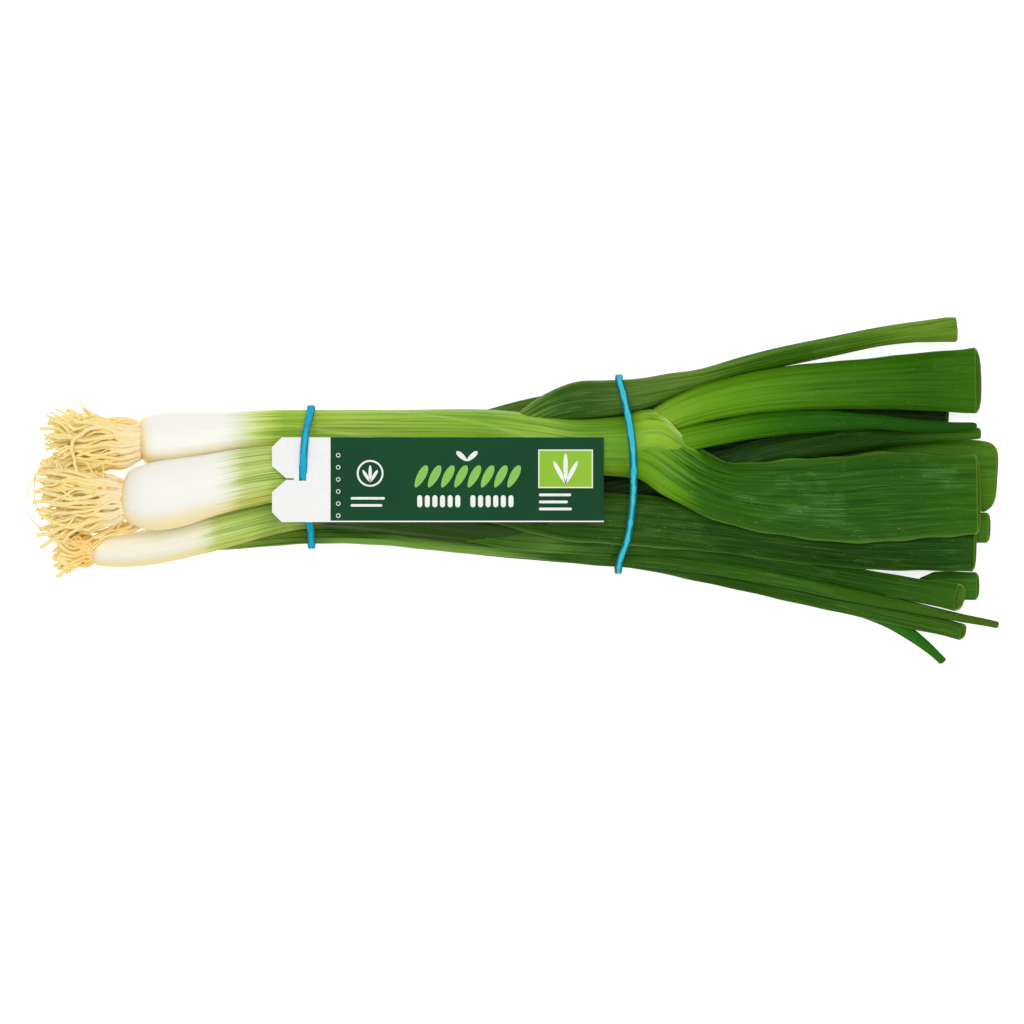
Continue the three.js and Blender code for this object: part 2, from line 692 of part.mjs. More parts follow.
// An elastic band: a flat strip, wide along X, that runs round a loop.
function bandGeometry(loop) {
  const curve = new THREE.CatmullRomCurve3(loop, true, "catmullrom");
  const rings = loop.map((p, i) => {
    const tangent = curve.getTangent(i / loop.length);
    const across = new THREE.Vector3(1, 0, 0).addScaledVector(tangent, -tangent.x).normalize();
    const outward = new THREE.Vector3().crossVectors(tangent, across);
    return BAND_SECTION.map(([w, t]) =>
      p
        .clone()
        .addScaledVector(across, (w * BAND_WIDTH) / 2)
        .addScaledVector(outward, (t * BAND_THICKNESS) / 2),
    );
  });
  const sides = BAND_SECTION.length;
  const faces = [];
  rings.forEach((_, i) => {
    const here = i * sides;
    const ahead = ((i + 1) % rings.length) * sides;
    for (let j = 0; j < sides; j++) {
      const next = (j + 1) % sides;
      faces.push(here + j, ahead + next, here + next);
      faces.push(here + j, ahead + j, ahead + next);
    }
  });
  return new THREE.BufferGeometry().setFromPoints(rings.flat()).setIndex(faces);
}

// The tag's outline, with the notch at its left end, the slit and the slot for the band.
function tagGeometry() {
  const notch = TAG_LEFT + NOTCH_DEPTH;
  const outline = [
    [TAG_LEFT + TAG_CORNER, TAG_BOTTOM],
    [TAG_RIGHT, TAG_BOTTOM],
    [TAG_RIGHT, TAG_TOP],
    [TAG_LEFT + TAG_CORNER, TAG_TOP],
    [TAG_LEFT, TAG_TOP - TAG_CORNER],
    [TAG_LEFT, NOTCH_Y + NOTCH_HALF],
    [notch, NOTCH_Y + SLIT_HALF],
    [SLOT_LEFT, NOTCH_Y + SLIT_HALF],
    [SLOT_LEFT, SLOT_HIGH],
    [SLOT_RIGHT, SLOT_HIGH],
    [SLOT_RIGHT, SLOT_LOW],
    [SLOT_LEFT, SLOT_LOW],
    [SLOT_LEFT, NOTCH_Y - SLIT_HALF],
    [notch, NOTCH_Y - SLIT_HALF],
    [TAG_LEFT, NOTCH_Y - NOTCH_HALF],
    [TAG_LEFT, TAG_BOTTOM + TAG_CORNER],
  ];
  const shape = new THREE.Shape(outline.map(([x, y]) => new THREE.Vector2(x, y)));
  const card = new THREE.ExtrudeGeometry(shape, { depth: TAG_THICKNESS, bevelEnabled: false });
  card.translate(0, 0, TAG_UNDERSIDE);
  card.deleteAttribute("normal");
  card.deleteAttribute("uv");
  return mergeVertices(card, 1e-4);
}

// Seeded random numbers from 0 to 1, so that every build grows the same roots.
function seededRandom(seed) {
  let state = seed;
  return () => {
    state = (state + 0x6d2b79f5) | 0;
    let mixed = Math.imul(state ^ (state >>> 15), 1 | state);
    mixed = (mixed + Math.imul(mixed ^ (mixed >>> 7), 61 | mixed)) ^ mixed;
    return ((mixed ^ (mixed >>> 14)) >>> 0) / 4294967296;
  };
}

// A root of three sides along a route of points, finer towards its tip, and grown by extra all round.
function strandSolid(points, turn, extra) {
  const last = points.length - 1;
  const rings = points.map((p, k) => {
    const ahead = points[Math.min(k + 1, last)];
    const behind = points[Math.max(k - 1, 0)];
    const tangent = new THREE.Vector3().subVectors(ahead, behind).normalize();
    const radius = THREE.MathUtils.lerp(ROOT_RADIUS, ROOT_TIP_RADIUS, k / last) + extra;
    const spot = p.clone().addScaledVector(tangent, k === last ? extra : 0);
    return ringAt(spot, tangent, radius, radius, turn, ROOT_SIDES);
  });
  return solidOf(closedSurface(rings));
}

// The route of one root: it leaves the plate, fans out, wanders a little and droops to the surface.
function rootRoute(random, { plate, plateRadius, reach, fan, spread, droop }) {
  const turn = random() * 2 * Math.PI;
  const out = Math.sqrt(random());
  const oy = Math.cos(turn) * out;
  const oz = Math.sin(turn) * out;
  const length = reach * (0.74 + 0.26 * random());
  const lean = fan + spread[0] * oy + ROOT_STRAY * (random() - 0.5);
  const lift = spread[1] * oz + ROOT_STRAY * (random() - 0.5);
  const wander = ROOT_WANDER * (random() - 0.5);
  return Array.from({ length: ROOT_SEGMENTS + 1 }, (_, k) => {
    const t = k / ROOT_SEGMENTS;
    const y = plate[1] + oy * plateRadius * PLATE_FILL + lean * length * t + wander * Math.sin(8 * t);
    const z = plate[2] + oz * plateRadius * PLATE_FILL + lift * length * t - droop * t * t;
    return new THREE.Vector3(plate[0] + 1 - length * t, y, Math.max(z, ROOT_LOWEST));
  });
}

// A tuft is one body: its roots are sunk in the plate, which narrows to a slim core. extra grows it all
// round, to make the free gap that the next tuft keeps.
function tuftSolid(tuft, extra = 0) {
  const { plate, plateRadius, reach, fan, droop } = tuft;
  const core = [
    [0, 1],
    [0.07, 1],
    [0.14, 0.7],
    [0.5, 0.2],
  ].map(([t, width]) => {
    const out = reach * t;
    const spot = new THREE.Vector3(plate[0] - out, plate[1] + fan * out, plate[2] - droop * t * t);
    const radius = plateRadius * width + extra;
    return ringAt(spot, new THREE.Vector3(-1, 0, 0), radius, radius, 0, LEAF_SIDES);
  });
  const random = seededRandom(tuft.seed);
  const grown = Array.from({ length: tuft.count }, () => rootRoute(random, tuft));
  const strays = tuft.strays.map((route) => route.map((p) => new THREE.Vector3(...p)));
  const roots = [...grown, ...strays].map((route, i) => strandSolid(route, i, extra));
  return wasm.Manifold.union([solidOf(closedSurface(core)), ...roots]);
}

function addMesh(name, geometry, material) {
  const mesh = new THREE.Mesh(geometry, material);
  mesh.name = name;
  group.add(mesh);
}

shank("shank_upper", UPPER_SHANK);
shank("shank_middle", MIDDLE_SHANK);
shank("shank_lower", LOWER_SHANK);
outerLeafWithMouth(LEAVES[0]);
LEAVES.slice(1).forEach(leaf);
for (const tuft of TUFTS) place(tuft.name, tuftSolid(tuft), ROOT_STRAW, tuftSolid(tuft, 2 * CLEARANCE));
addMesh("band_root_end", bandGeometry(bandRoute(ROOT_END_BAND)), BAND_BLUE);
addMesh("band_leaf_end", bandGeometry(bandRoute(LEAF_END_BAND)), BAND_BLUE);
addMesh("tag", tagGeometry(), TAG_CARD);

export default group;
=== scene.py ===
"""The looks of a bunch of three spring onions, laid flat and seen from above.

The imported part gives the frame. Every stem and leaf gets a fine skin that follows the same route as its
solid, the root tufts get round strands, the two elastic bands get a rounded section, and the card tag
keeps its solid and gets its print. Sizes in the tables are millimetres, as on the part.
"""

import logging
import math
from dataclasses import dataclass, field
from enum import Enum
from typing import Optional, Sequence, Union

import bpy
import numpy as np
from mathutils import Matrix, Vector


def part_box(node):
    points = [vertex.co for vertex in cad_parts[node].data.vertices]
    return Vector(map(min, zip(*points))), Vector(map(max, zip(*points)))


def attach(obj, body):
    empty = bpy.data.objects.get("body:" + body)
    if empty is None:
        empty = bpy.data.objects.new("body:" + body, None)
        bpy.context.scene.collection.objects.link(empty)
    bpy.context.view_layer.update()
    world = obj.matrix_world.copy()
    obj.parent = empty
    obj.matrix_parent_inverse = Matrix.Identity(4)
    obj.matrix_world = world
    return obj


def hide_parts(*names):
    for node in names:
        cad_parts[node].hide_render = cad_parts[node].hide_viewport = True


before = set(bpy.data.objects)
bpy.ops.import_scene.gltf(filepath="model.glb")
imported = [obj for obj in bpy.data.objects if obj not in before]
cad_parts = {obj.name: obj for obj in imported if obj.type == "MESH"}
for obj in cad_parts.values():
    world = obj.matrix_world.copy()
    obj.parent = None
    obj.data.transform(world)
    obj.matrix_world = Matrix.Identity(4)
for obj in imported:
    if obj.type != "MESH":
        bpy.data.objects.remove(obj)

logging.basicConfig(level=logging.INFO, format="%(name)s: %(message)s")
log = logging.getLogger("spring_onions")

MM = 0.001
BODY = "root"
UP = np.array([0.0, 0.0, 1.0])

Span = tuple[float, float]
Point = tuple[float, float, float]
Box = tuple[float, float, float, float]
Station = tuple[float, float, float, float, float, float]
Strand = tuple[np.ndarray, np.ndarray]
Colour = tuple[int, int, int]
Stops = tuple[tuple[float, Colour], ...]
Socket = bpy.types.NodeSocket
Input = Union[Socket, float, tuple]


class Slot(Enum):
    """The part's material slots."""

    LEAF = "leaf"
    SHANK = "shank"
    ROOT = "root"
    BAND = "band"
    TAG = "tag"


def linear(colour: Colour) -> tuple[float, float, float, float]:
    """Turns three display values, 0 to 255, into scene-linear red, green, blue and alpha."""
    parts = [v / 255 for v in colour]
    return tuple(v / 12.92 if v <= 0.04045 else ((v + 0.055) / 1.055) ** 2.4 for v in parts) + (1.0,)


def unit(vectors: np.ndarray) -> np.ndarray:
    """The same vectors with a length of one."""
    return vectors / np.linalg.norm(vectors, axis=-1, keepdims=True)


def smooth(values: np.ndarray, start: float, end: float) -> np.ndarray:
    """Rises from 0 at start to 1 at end without a corner."""
    part = np.clip((values - start) / (end - start), 0, 1)
    return part * part * (3 - 2 * part)


def turns(sides: int) -> np.ndarray:
    """Angles evenly round a stem, from its lowest point."""
    return np.arange(sides) / sides * 2 * np.pi - np.pi / 2


def past(angle: np.ndarray, edge: Union[float, np.ndarray]) -> np.ndarray:
    """How far angles lie past an edge, from half a turn before it to half a turn after."""
    return (angle - edge + np.pi) % (2 * np.pi) - np.pi


def grain_at(angle: np.ndarray, run: np.ndarray) -> np.ndarray:
    """Cosine and sine of each angle, and the run in centimetres."""
    return np.stack([np.cos(angle), np.sin(angle), run / 10], -1)


def between(four: Sequence[np.ndarray], w: np.ndarray) -> tuple[np.ndarray, np.ndarray]:
    """Place and slope on a smooth curve, a part w of the way from its second point to its third.

    Args:
        four: four points in a row, or rows of them.
        w: the part of the way, 0 to 1.

    Returns:
        The place and the slope there.
    """
    p0, p1, p2, p3 = four
    b = p2 - p0
    c = 2 * p0 - 5 * p1 + 4 * p2 - p3
    d = 3 * p1 - p0 - 3 * p2 + p3
    return (2 * p1 + b * w + c * w**2 + d * w**3) / 2, (b + 2 * c * w + 3 * d * w**2) / 2


# Skins of stems and leaves


class Route:
    """A smooth line through stations, with a half width, half thickness and roll at each point."""

    def __init__(self, stations: Sequence[Station]) -> None:
        """Takes the stations in order, each (x, y, z, half width, half thickness, roll in degrees).

        Args:
            stations: the stations, in millimetres.
        """
        self.stations = np.array(stations, dtype=float)
        first, last = self.stations[:2], self.stations[-2:]
        self._padded = np.vstack([2 * first[0] - first[1], self.stations, 2 * last[1] - last[0]])

    def at(self, t: np.ndarray) -> tuple[np.ndarray, np.ndarray]:
        """Values and slopes of the stations' six numbers, for parts t of the route from 0 to 1.

        Args:
            t: the parts of the route.

        Returns:
            The values and the slopes.
        """
        spot = np.asarray(t, dtype=float) * (len(self.stations) - 1)
        index = np.clip(np.floor(spot).astype(int), 0, len(self.stations) - 2)
        w = (spot - index)[..., None]
        return between([self._padded[index + k] for k in range(4)], w)

    def stops(self, step: float) -> np.ndarray:
        """Parts of the route that lie about one step apart, with both ends.

        Args:
            step: how far apart they lie, in millimetres.

        Returns:
            The parts, 0 to 1.
        """
        lengths = np.linalg.norm(np.diff(self.stations[:, :3], axis=0), axis=1)
        last = len(lengths)
        found = []
        for i, length in enumerate(lengths):
            count = max(1, round(length / step))
            found.extend((i + k / count) / last for k in range(count))
        return np.array([*found, 1.0])

    def run(self, t: np.ndarray) -> np.ndarray:
        """How far along the route each part t lies, in millimetres.

        Args:
            t: the parts of the route.

        Returns:
            The lengths from its start.
        """
        fine = np.linspace(0, 1, 600)
        spots = self.at(fine)[0][:, :3]
        gone = np.concatenate([[0], np.cumsum(np.linalg.norm(np.diff(spots, axis=0), axis=1))])
        return np.interp(t, fine, gone)

    def surface(self, t: np.ndarray, angle: np.ndarray, lift: np.ndarray) -> np.ndarray:
        """Points of the skin round the route.

        Args:
            t: part of the route, 0 to 1, for each point.
            angle: how far round each point lies, from the +Y side over the top, in radians.
            lift: how far each point stands off the skin, in millimetres.

        Returns:
            The points, in millimetres.
        """
        value, slope = self.at(t)
        tangent = unit(slope[..., :3])
        side = unit(np.cross(UP, tangent))
        over = np.cross(tangent, side)
        roll = np.radians(value[..., 5:6])
        across = side * np.cos(roll) + over * np.sin(roll)
        upward = over * np.cos(roll) - side * np.sin(roll)
        wide = (np.maximum(value[..., 3] + lift, 0.05) * np.cos(angle))[..., None]
        thick = (np.maximum(value[..., 4] + lift, 0.05) * np.sin(angle))[..., None]
        return value[..., :3] + across * wide + upward * thick


@dataclass
class Skin:
    """Rings of points that become one closed surface, with what the finishes read at each point.

    Attributes:
        rings: the points, as rings by points by three, in millimetres.
        grain: where each point lies round the stem (cosine, sine) and along it, in centimetres.
        marks: named values for each point.
    """

    rings: np.ndarray
    grain: np.ndarray
    marks: dict[str, np.ndarray] = field(default_factory=dict)

    def mesh(self, name: str) -> bpy.types.Mesh:
        """Builds the closed mesh, with a UV map round and along it, and the marks as attributes.

        Args:
            name: the mesh's name.

        Returns:
            The mesh, within the part's box.
        """
        rows, sides, _ = self.rings.shape
        points = np.vstack([self.rings.reshape(-1, 3), self.rings[0].mean(0), self.rings[-1].mean(0)])
        ring = np.arange(sides)
        after = (ring + 1) % sides
        start = np.arange(rows - 1)[:, None] * sides
        quads = np.stack([start + ring, start + after, start + sides + after, start + sides + ring], -1)
        tail = (rows - 1) * sides
        faces = [tuple(q) for q in quads.reshape(-1, 4).tolist()]
        faces += [(rows * sides, int(b), int(a)) for a, b in zip(ring, after)]
        faces += [(rows * sides + 1, tail + int(a), tail + int(b)) for a, b in zip(ring, after)]
        mesh = bpy.data.meshes.new(name)
        mesh.from_pydata((inside_frame(points) * MM).tolist(), [], faces)
        mesh.shade_smooth()
        self._unwrap(mesh, rows, sides)
        self._note(mesh, "grain", "FLOAT_VECTOR", "vector", self.grain)
        for key, values in self.marks.items():
            self._note(mesh, key, "FLOAT", "value", values)
        return mesh

    def _unwrap(self, mesh: bpy.types.Mesh, rows: int, sides: int) -> None:
        """Lays the skin out flat: round it from 0 to 1, along it a unit for each ten centimetres.

        Args:
            mesh: the mesh that gets the map.
            rows: how many rings it has.
            sides: how many points each ring has.
        """
        turn = np.repeat([[0, 1, 1, 0]], sides, 0) + np.arange(sides)[:, None]
        along = self.grain[..., 2] / 10
        u = np.tile(turn / sides, (rows - 1, 1, 1))
        nxt = np.roll(along, -1, axis=1)
        v = np.stack([along[:-1], nxt[:-1], nxt[1:], along[1:]], -1)
        body = np.stack([u, v], -1).reshape(-1, 2)
        caps = np.zeros((6 * sides, 2))
        layer = mesh.uv_layers.new(name="round_and_along")
        layer.data.foreach_set("uv", np.vstack([body, caps]).astype(np.float32).ravel())

    @staticmethod
    def _note(mesh: bpy.types.Mesh, name: str, kind: str, key: str, values: np.ndarray) -> None:
        """Writes one value for each point. The two cap points repeat their ring's mean.

        Args:
            mesh: the mesh that gets the attribute.
            name: the attribute's name.
            kind: the attribute's type.
            key: what a value of that type is called.
            values: one value for each point of each ring.
        """
        rings = values.reshape(*values.shape[:2], -1)
        every = np.vstack([*rings, rings[0].mean(0), rings[-1].mean(0)])
        layer = mesh.attributes.new(name, kind, "POINT")
        layer.data.foreach_set(key, every.astype(np.float32).ravel())


def inside_frame(points: np.ndarray) -> np.ndarray:
    """Presses points that would pass the part's own box back into it."""
    low, high = FRAME_BOX
    return np.clip(points, low, high)


def frame_box() -> tuple[np.ndarray, np.ndarray]:
    """The corners of the box round all the part's solids, in millimetres."""
    corners = np.vstack([np.array(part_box(name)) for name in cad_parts]) / MM
    return corners.min(0), corners.max(0)


FRAME_BOX = frame_box()


# Finishes


class Bench:
    """A material's node tree, built by short calls."""

    def __init__(self, name: str) -> None:
        """Starts a material of that name with a shader joined to its output.

        Args:
            name: the material's name.
        """
        self.material = bpy.data.materials.new(name)
        self.material.use_nodes = True
        self.tree = self.material.node_tree
        self.tree.nodes.clear()
        self.shader = self.add("ShaderNodeBsdfPrincipled")
        output = self.add("ShaderNodeOutputMaterial")
        self.join(self.shader.outputs["BSDF"], output.inputs["Surface"])

    def add(self, kind: str, **settings: object) -> bpy.types.Node:
        """Adds a node and sets its named properties.

        Args:
            kind: its type.
            settings: its properties by name.

        Returns:
            The node.
        """
        node = self.tree.nodes.new(kind)
        for key, value in settings.items():
            setattr(node, key, value)
        return node

    def join(self, source: Input, target: Socket) -> None:
        """Links a socket to another, or sets a plain value on it.

        Args:
            source: the socket or the value.
            target: the input that gets it.
        """
        if isinstance(source, Socket):
            self.tree.links.new(source, target)
        else:
            target.default_value = source

    def math(self, operation: str, *values: Input) -> Socket:
        """The outcome of one calculation.

        Args:
            operation: the calculation's name.
            values: its inputs, in order.

        Returns:
            The outcome.
        """
        node = self.add("ShaderNodeMath", operation=operation)
        for value, target in zip(values, node.inputs):
            self.join(value, target)
        return node.outputs[0]

    def spread(self, value: Input, low: float, high: float, to: Span = (0, 1)) -> Socket:
        """Maps a stretch of values smoothly to another and holds it at the ends.

        Args:
            value: the value.
            low: where the stretch starts.
            high: where it ends.
            to: what its start and its end become.

        Returns:
            The mapped value.
        """
        node = self.add("ShaderNodeMapRange", interpolation_type="SMOOTHSTEP")
        self.join(value, node.inputs["Value"])
        for key, number in zip(("From Min", "From Max", "To Min", "To Max"), (low, high, *to)):
            node.inputs[key].default_value = number
        return node.outputs["Result"]

    def blend(self, amount: Input, first: Input, second: Input, mode: str = "MIX") -> Socket:
        """Mixes two colours.

        Args:
            amount: how much of the second there is, 0 to 1.
            first: the first colour.
            second: the second colour.
            mode: how the second acts on the first.

        Returns:
            The mixed colour.
        """
        node = self.add("ShaderNodeMix", data_type="RGBA", blend_type=mode)
        self.join(amount, node.inputs[0])
        self.join(first, node.inputs[6])
        self.join(second, node.inputs[7])
        return node.outputs[2]

    def mark(self, name: str, output: str = "Fac") -> Socket:
        """Reads an attribute of the piece."""
        return self.add("ShaderNodeAttribute", attribute_name=name).outputs[output]

    def noise(self, vector: Socket, scale: float, detail: float = 2.0) -> Socket:
        """Soft random values from 0 to 1.

        Args:
            vector: where each point lies.
            scale: how fine the change is.
            detail: how much finer variation there is.

        Returns:
            The values.
        """
        node = self.add("ShaderNodeTexNoise")
        self.join(vector, node.inputs["Vector"])
        node.inputs["Scale"].default_value = scale
        node.inputs["Detail"].default_value = detail
        return node.outputs["Fac"]

    def where(self) -> Socket:
        """The part's own coordinates, in metres."""
        return self.add("ShaderNodeTexCoord").outputs["Object"]

    def part_of(self, vector: Socket, axis: str) -> Socket:
        """One of the three numbers of a vector.

        Args:
            vector: the vector.
            axis: X, Y or Z.

        Returns:
            The number.
        """
        split = self.add("ShaderNodeSeparateXYZ")
        self.join(vector, split.inputs[0])
        return split.outputs[axis]

    def millimetres(self, axis: str) -> Socket:
        """How far along the part's X, Y or Z each point lies, in millimetres."""
        return self.math("DIVIDE", self.part_of(self.where(), axis), MM)

    def ribs(self, grain: Socket, count: float, change: float, detail: float = 2.0) -> Socket:
        """Soft random streaks, from 0 to 1.

        Args:
            grain: where each point lies round the stem and along it.
            count: how many streaks there are round it, roughly.
            change: how often they change in a centimetre along it.
            detail: how much finer variation they have.

        Returns:
            The values.
        """
        drawn = self.add("ShaderNodeVectorMath", operation="MULTIPLY")
        self.join(grain, drawn.inputs[0])
        drawn.inputs[1].default_value = (count, count, change)
        return self.noise(drawn.outputs[0], 1.0, detail)

    def tinted(self, amount: Input, colour: Socket, tone: Colour) -> Socket:
        """The colour, multiplied by a tone as far as amount says."""
        return self.blend(amount, colour, self.blend(1.0, colour, linear(tone), "MULTIPLY"))

    def washed(self, amount: Input, colour: Socket, tone: Colour, share: float) -> Socket:
        """The colour, drawn by a share to a tone as far as amount says."""
        return self.blend(amount, colour, self.blend(share, colour, linear(tone)))

    def paint(self, colour: Socket) -> None:
        """Gives the shader its colour."""
        self.join(colour, self.shader.inputs["Base Color"])

    def along(self, stops: Stops, shift: Input) -> Socket:
        """Colours that change along X.

        Args:
            stops: pairs of X in millimetres and the colour there, in order.
            shift: how far the colours are moved, in millimetres, for a ragged change.

        Returns:
            The colour.
        """
        x = self.math("ADD", self.millimetres("X"), shift)
        first, last = stops[0][0], stops[-1][0]
        part = self.math("DIVIDE", self.math("SUBTRACT", x, first), last - first)
        ramp = self.add("ShaderNodeValToRGB")
        self.join(part, ramp.inputs["Fac"])
        elements = ramp.color_ramp.elements
        while len(elements) < len(stops):
            elements.new(0.5)
        for element, (spot, colour) in zip(elements, stops):
            element.position = (spot - first) / (last - first)
            element.color = linear(colour)
        return ramp.outputs["Color"]

    def bump(self, height: Socket, strength: float, distance: float) -> None:
        """Gives the shader a fine relief.

        Args:
            height: how high each point stands, 0 to 1.
            strength: how strongly it shows, 0 to 1.
            distance: the height of 1, in millimetres.
        """
        node = self.add("ShaderNodeBump")
        node.inputs["Strength"].default_value = strength
        node.inputs["Distance"].default_value = distance * MM
        self.join(height, node.inputs["Height"])
        self.join(node.outputs["Normal"], self.shader.inputs["Normal"])

    def surface(self, roughness: Input, specular: float, coat: float = 0.0) -> None:
        """Sets the gloss of the shader.

        Args:
            roughness: how dull it is, 0 to 1.
            specular: how strongly it mirrors, 0 to 1.
            coat: how much of a clear coat it has, 0 to 1.
        """
        self.join(roughness, self.shader.inputs["Roughness"])
        self.shader.inputs["Specular IOR Level"].default_value = specular
        self.shader.inputs["Coat Weight"].default_value = coat
        self.shader.inputs["Coat Roughness"].default_value = 0.3


@dataclass(frozen=True)
class LeafFinish:
    """Fresh green leaf: veins that run along it, patches of waxy bloom, and pale cut ends.

    Attributes:
        name: the material's name.
        stops: colours along X, as pairs of millimetres and colour.
        stripe: how strongly the veins show, 0 to 1.
        bloom: how much waxy bloom dulls it, 0 to 1.
        edge_highlight: how strongly a painted highlight lightens its two edges, 0 to 1.
        veins: how many veins there are round it, roughly.
        pale_side: the stretch of X over which its -Y side is paler, or None.
        stray: how far a change of colour strays along X from vein to vein, in millimetres.
    """

    name: str
    stops: Stops
    stripe: float = 0.5
    bloom: float = 0.3
    edge_highlight: float = 0.35
    veins: float = 9.0
    pale_side: Optional[Span] = None
    stray: float = 4.0

    VEIN = (150, 168, 120)
    HAIR_VEIN = (186, 200, 160)
    BETWEEN_VEINS = (146, 194, 60)
    BLOOM = (130, 174, 104)
    FLECK = (160, 184, 84)
    EDGE_HIGHLIGHT = (112, 158, 60)
    PALE_SIDE = (118, 158, 62)
    INSIDE = (84, 122, 40)
    CUT = (128, 164, 50)

    def material(self) -> bpy.types.Material:
        """Builds the material.

        Returns:
            The material.
        """
        bench = Bench(self.name)
        grain = bench.mark("grain", "Vector")
        wide = bench.ribs(grain, self.veins, 0.25)
        fine = bench.ribs(grain, 4 * self.veins, 0.6, 3.0)
        hair = bench.ribs(grain, 9 * self.veins, 0.35)
        cloud = bench.ribs(grain, 1.6, 0.8, 3.0)
        fleck = bench.ribs(grain, 14, 9)
        colour = bench.along(self.stops, bench.spread(wide, 0.3, 0.7, (-self.stray, self.stray)))
        colour = bench.tinted(bench.spread(wide, 0.5, 0.66, (0, self.stripe)), colour, self.VEIN)
        colour = bench.tinted(bench.spread(hair, 0.5, 0.62, (0, self.stripe)), colour, self.HAIR_VEIN)
        light = bench.spread(fine, 0.5, 0.68, (0, self.stripe))
        colour = bench.washed(light, colour, self.BETWEEN_VEINS, 0.19)
        dull = bench.math("MULTIPLY", bench.spread(cloud, 0.52, 0.7), bench.spread(fine, 0.35, 0.6))
        colour = bench.washed(bench.math("MULTIPLY", dull, self.bloom), colour, self.BLOOM, 0.26)
        spot = bench.math("MULTIPLY", bench.spread(fleck, 0.64, 0.76), bench.spread(cloud, 0.42, 0.6))
        colour = bench.blend(bench.math("MULTIPLY", spot, 0.32), colour, linear(self.FLECK))
        # Painted highlight: the two folded edges of the flattened leaf are lightened where the light
        # catches them.
        edge = bench.math("MULTIPLY", bench.mark("edge_highlight"), self.edge_highlight)
        colour = bench.blend(edge, colour, linear(self.EDGE_HIGHLIGHT))
        if self.pale_side:
            colour = bench.blend(self._low_side(bench, grain, wide), colour, linear(self.PALE_SIDE))
        for mark, tone in (("inside", self.INSIDE), ("cut", self.CUT)):
            colour = bench.blend(bench.math("MULTIPLY", bench.mark(mark), 0.6), colour, linear(tone))
        bench.paint(colour)
        bench.surface(bench.spread(cloud, 0.3, 0.7, (0.36, 0.54)), 0.07)
        bench.bump(bench.math("ADD", wide, bench.math("MULTIPLY", fine, 0.7)), 0.35, 0.25)
        return bench.material

    def _low_side(self, bench: Bench, grain: Socket, wander: Socket) -> Socket:
        """1 on the -Y side of the pale stretch, with a border that wanders.

        Args:
            bench: the material's bench.
            grain: where each point lies round the leaf.
            wander: the random value that moves the border.

        Returns:
            The share of the paler colour.
        """
        start, stop = self.pale_side
        x = bench.millimetres("X")
        ends = bench.spread(x, start, start + 14), bench.spread(x, stop, stop - 26)
        run = bench.math("MULTIPLY", *ends)
        side = bench.math("ADD", bench.part_of(grain, "X"), bench.spread(wander, 0.3, 0.7, (-0.3, 0.3)))
        return bench.math("MULTIPLY", run, bench.spread(side, 0.0, -0.7))


@dataclass(frozen=True)
class ShankFinish:
    """White bulb that runs into pale and then green wrapped sheaths, with darker lines along them.

    Attributes:
        name: the material's name.
        stops: colours along X, as pairs of millimetres and colour.
        green_from: where the darker lines begin, in millimetres along X.
        green_full: where they are at their strongest.
        lines: how strong they are, 0 to 1.
        shade_strength: how strongly the painted shade tints its -Y side, 0 to 1.
        ragged: how far the change of colour strays along X, in millimetres.
        shade_tint: the tint of the shade painted on its -Y side.
        shade_range: where round it that painted shade begins and is full, as the cosine of the angle.
    """

    name: str
    stops: Stops
    green_from: float
    green_full: float
    lines: float = 0.75
    shade_strength: float = 0.8
    ragged: float = 2.2
    shade_tint: Colour = (253, 230, 152)
    shade_range: Span = (-0.35, -1.0)

    FINE_LINE = (150, 186, 84)
    WIDE_LINE = (190, 210, 140)
    FAINT_LINE = (226, 222, 190)
    HEEL = (252, 224, 156)
    LAP = (214, 234, 142)
    LIGHT_REACHES_IN = (0.002, 0.0022, 0.001)

    def material(self) -> bpy.types.Material:
        """Builds the material.

        Returns:
            The material.
        """
        bench = Bench(self.name)
        grain = bench.mark("grain", "Vector")
        wide = bench.ribs(grain, 5, 0.12)
        fine = bench.ribs(grain, 19, 0.2, 3.0)
        cloud = bench.ribs(grain, 1.2, 0.6, 3.0)
        colour = bench.along(self.stops, bench.spread(fine, 0.3, 0.7, (-self.ragged, self.ragged)))
        green = bench.spread(bench.millimetres("X"), self.green_from, self.green_full)
        line = bench.math("MULTIPLY", bench.spread(fine, 0.52, 0.6, (0, self.lines)), green)
        colour = bench.tinted(line, colour, self.FINE_LINE)
        line = bench.math("MULTIPLY", bench.spread(wide, 0.55, 0.64, (0, 0.7 * self.lines)), green)
        colour = bench.tinted(line, colour, self.WIDE_LINE)
        colour = bench.washed(bench.spread(fine, 0.5, 0.75, (0, 0.35)), colour, self.FAINT_LINE, 0.3)
        # Painted shade: the -Y side, which turns away from the light above, is tinted darker and warmer.
        low = bench.spread(bench.part_of(grain, "X"), *self.shade_range, (0, self.shade_strength))
        colour = bench.tinted(low, colour, self.shade_tint)
        colour = bench.blend(bench.mark("heel"), colour, linear(self.HEEL))
        colour = bench.washed(bench.mark("lap"), colour, self.LAP, 0.7)
        bench.paint(colour)
        bench.shader.inputs["Subsurface Weight"].default_value = 0.12
        bench.shader.inputs["Subsurface Radius"].default_value = self.LIGHT_REACHES_IN
        bench.shader.inputs["Subsurface Scale"].default_value = 0.6
        bench.surface(bench.spread(cloud, 0.3, 0.7, (0.32, 0.46)), 0.12)
        bench.bump(bench.math("ADD", wide, bench.math("MULTIPLY", fine, 0.6)), 0.35, 0.2)
        return bench.material


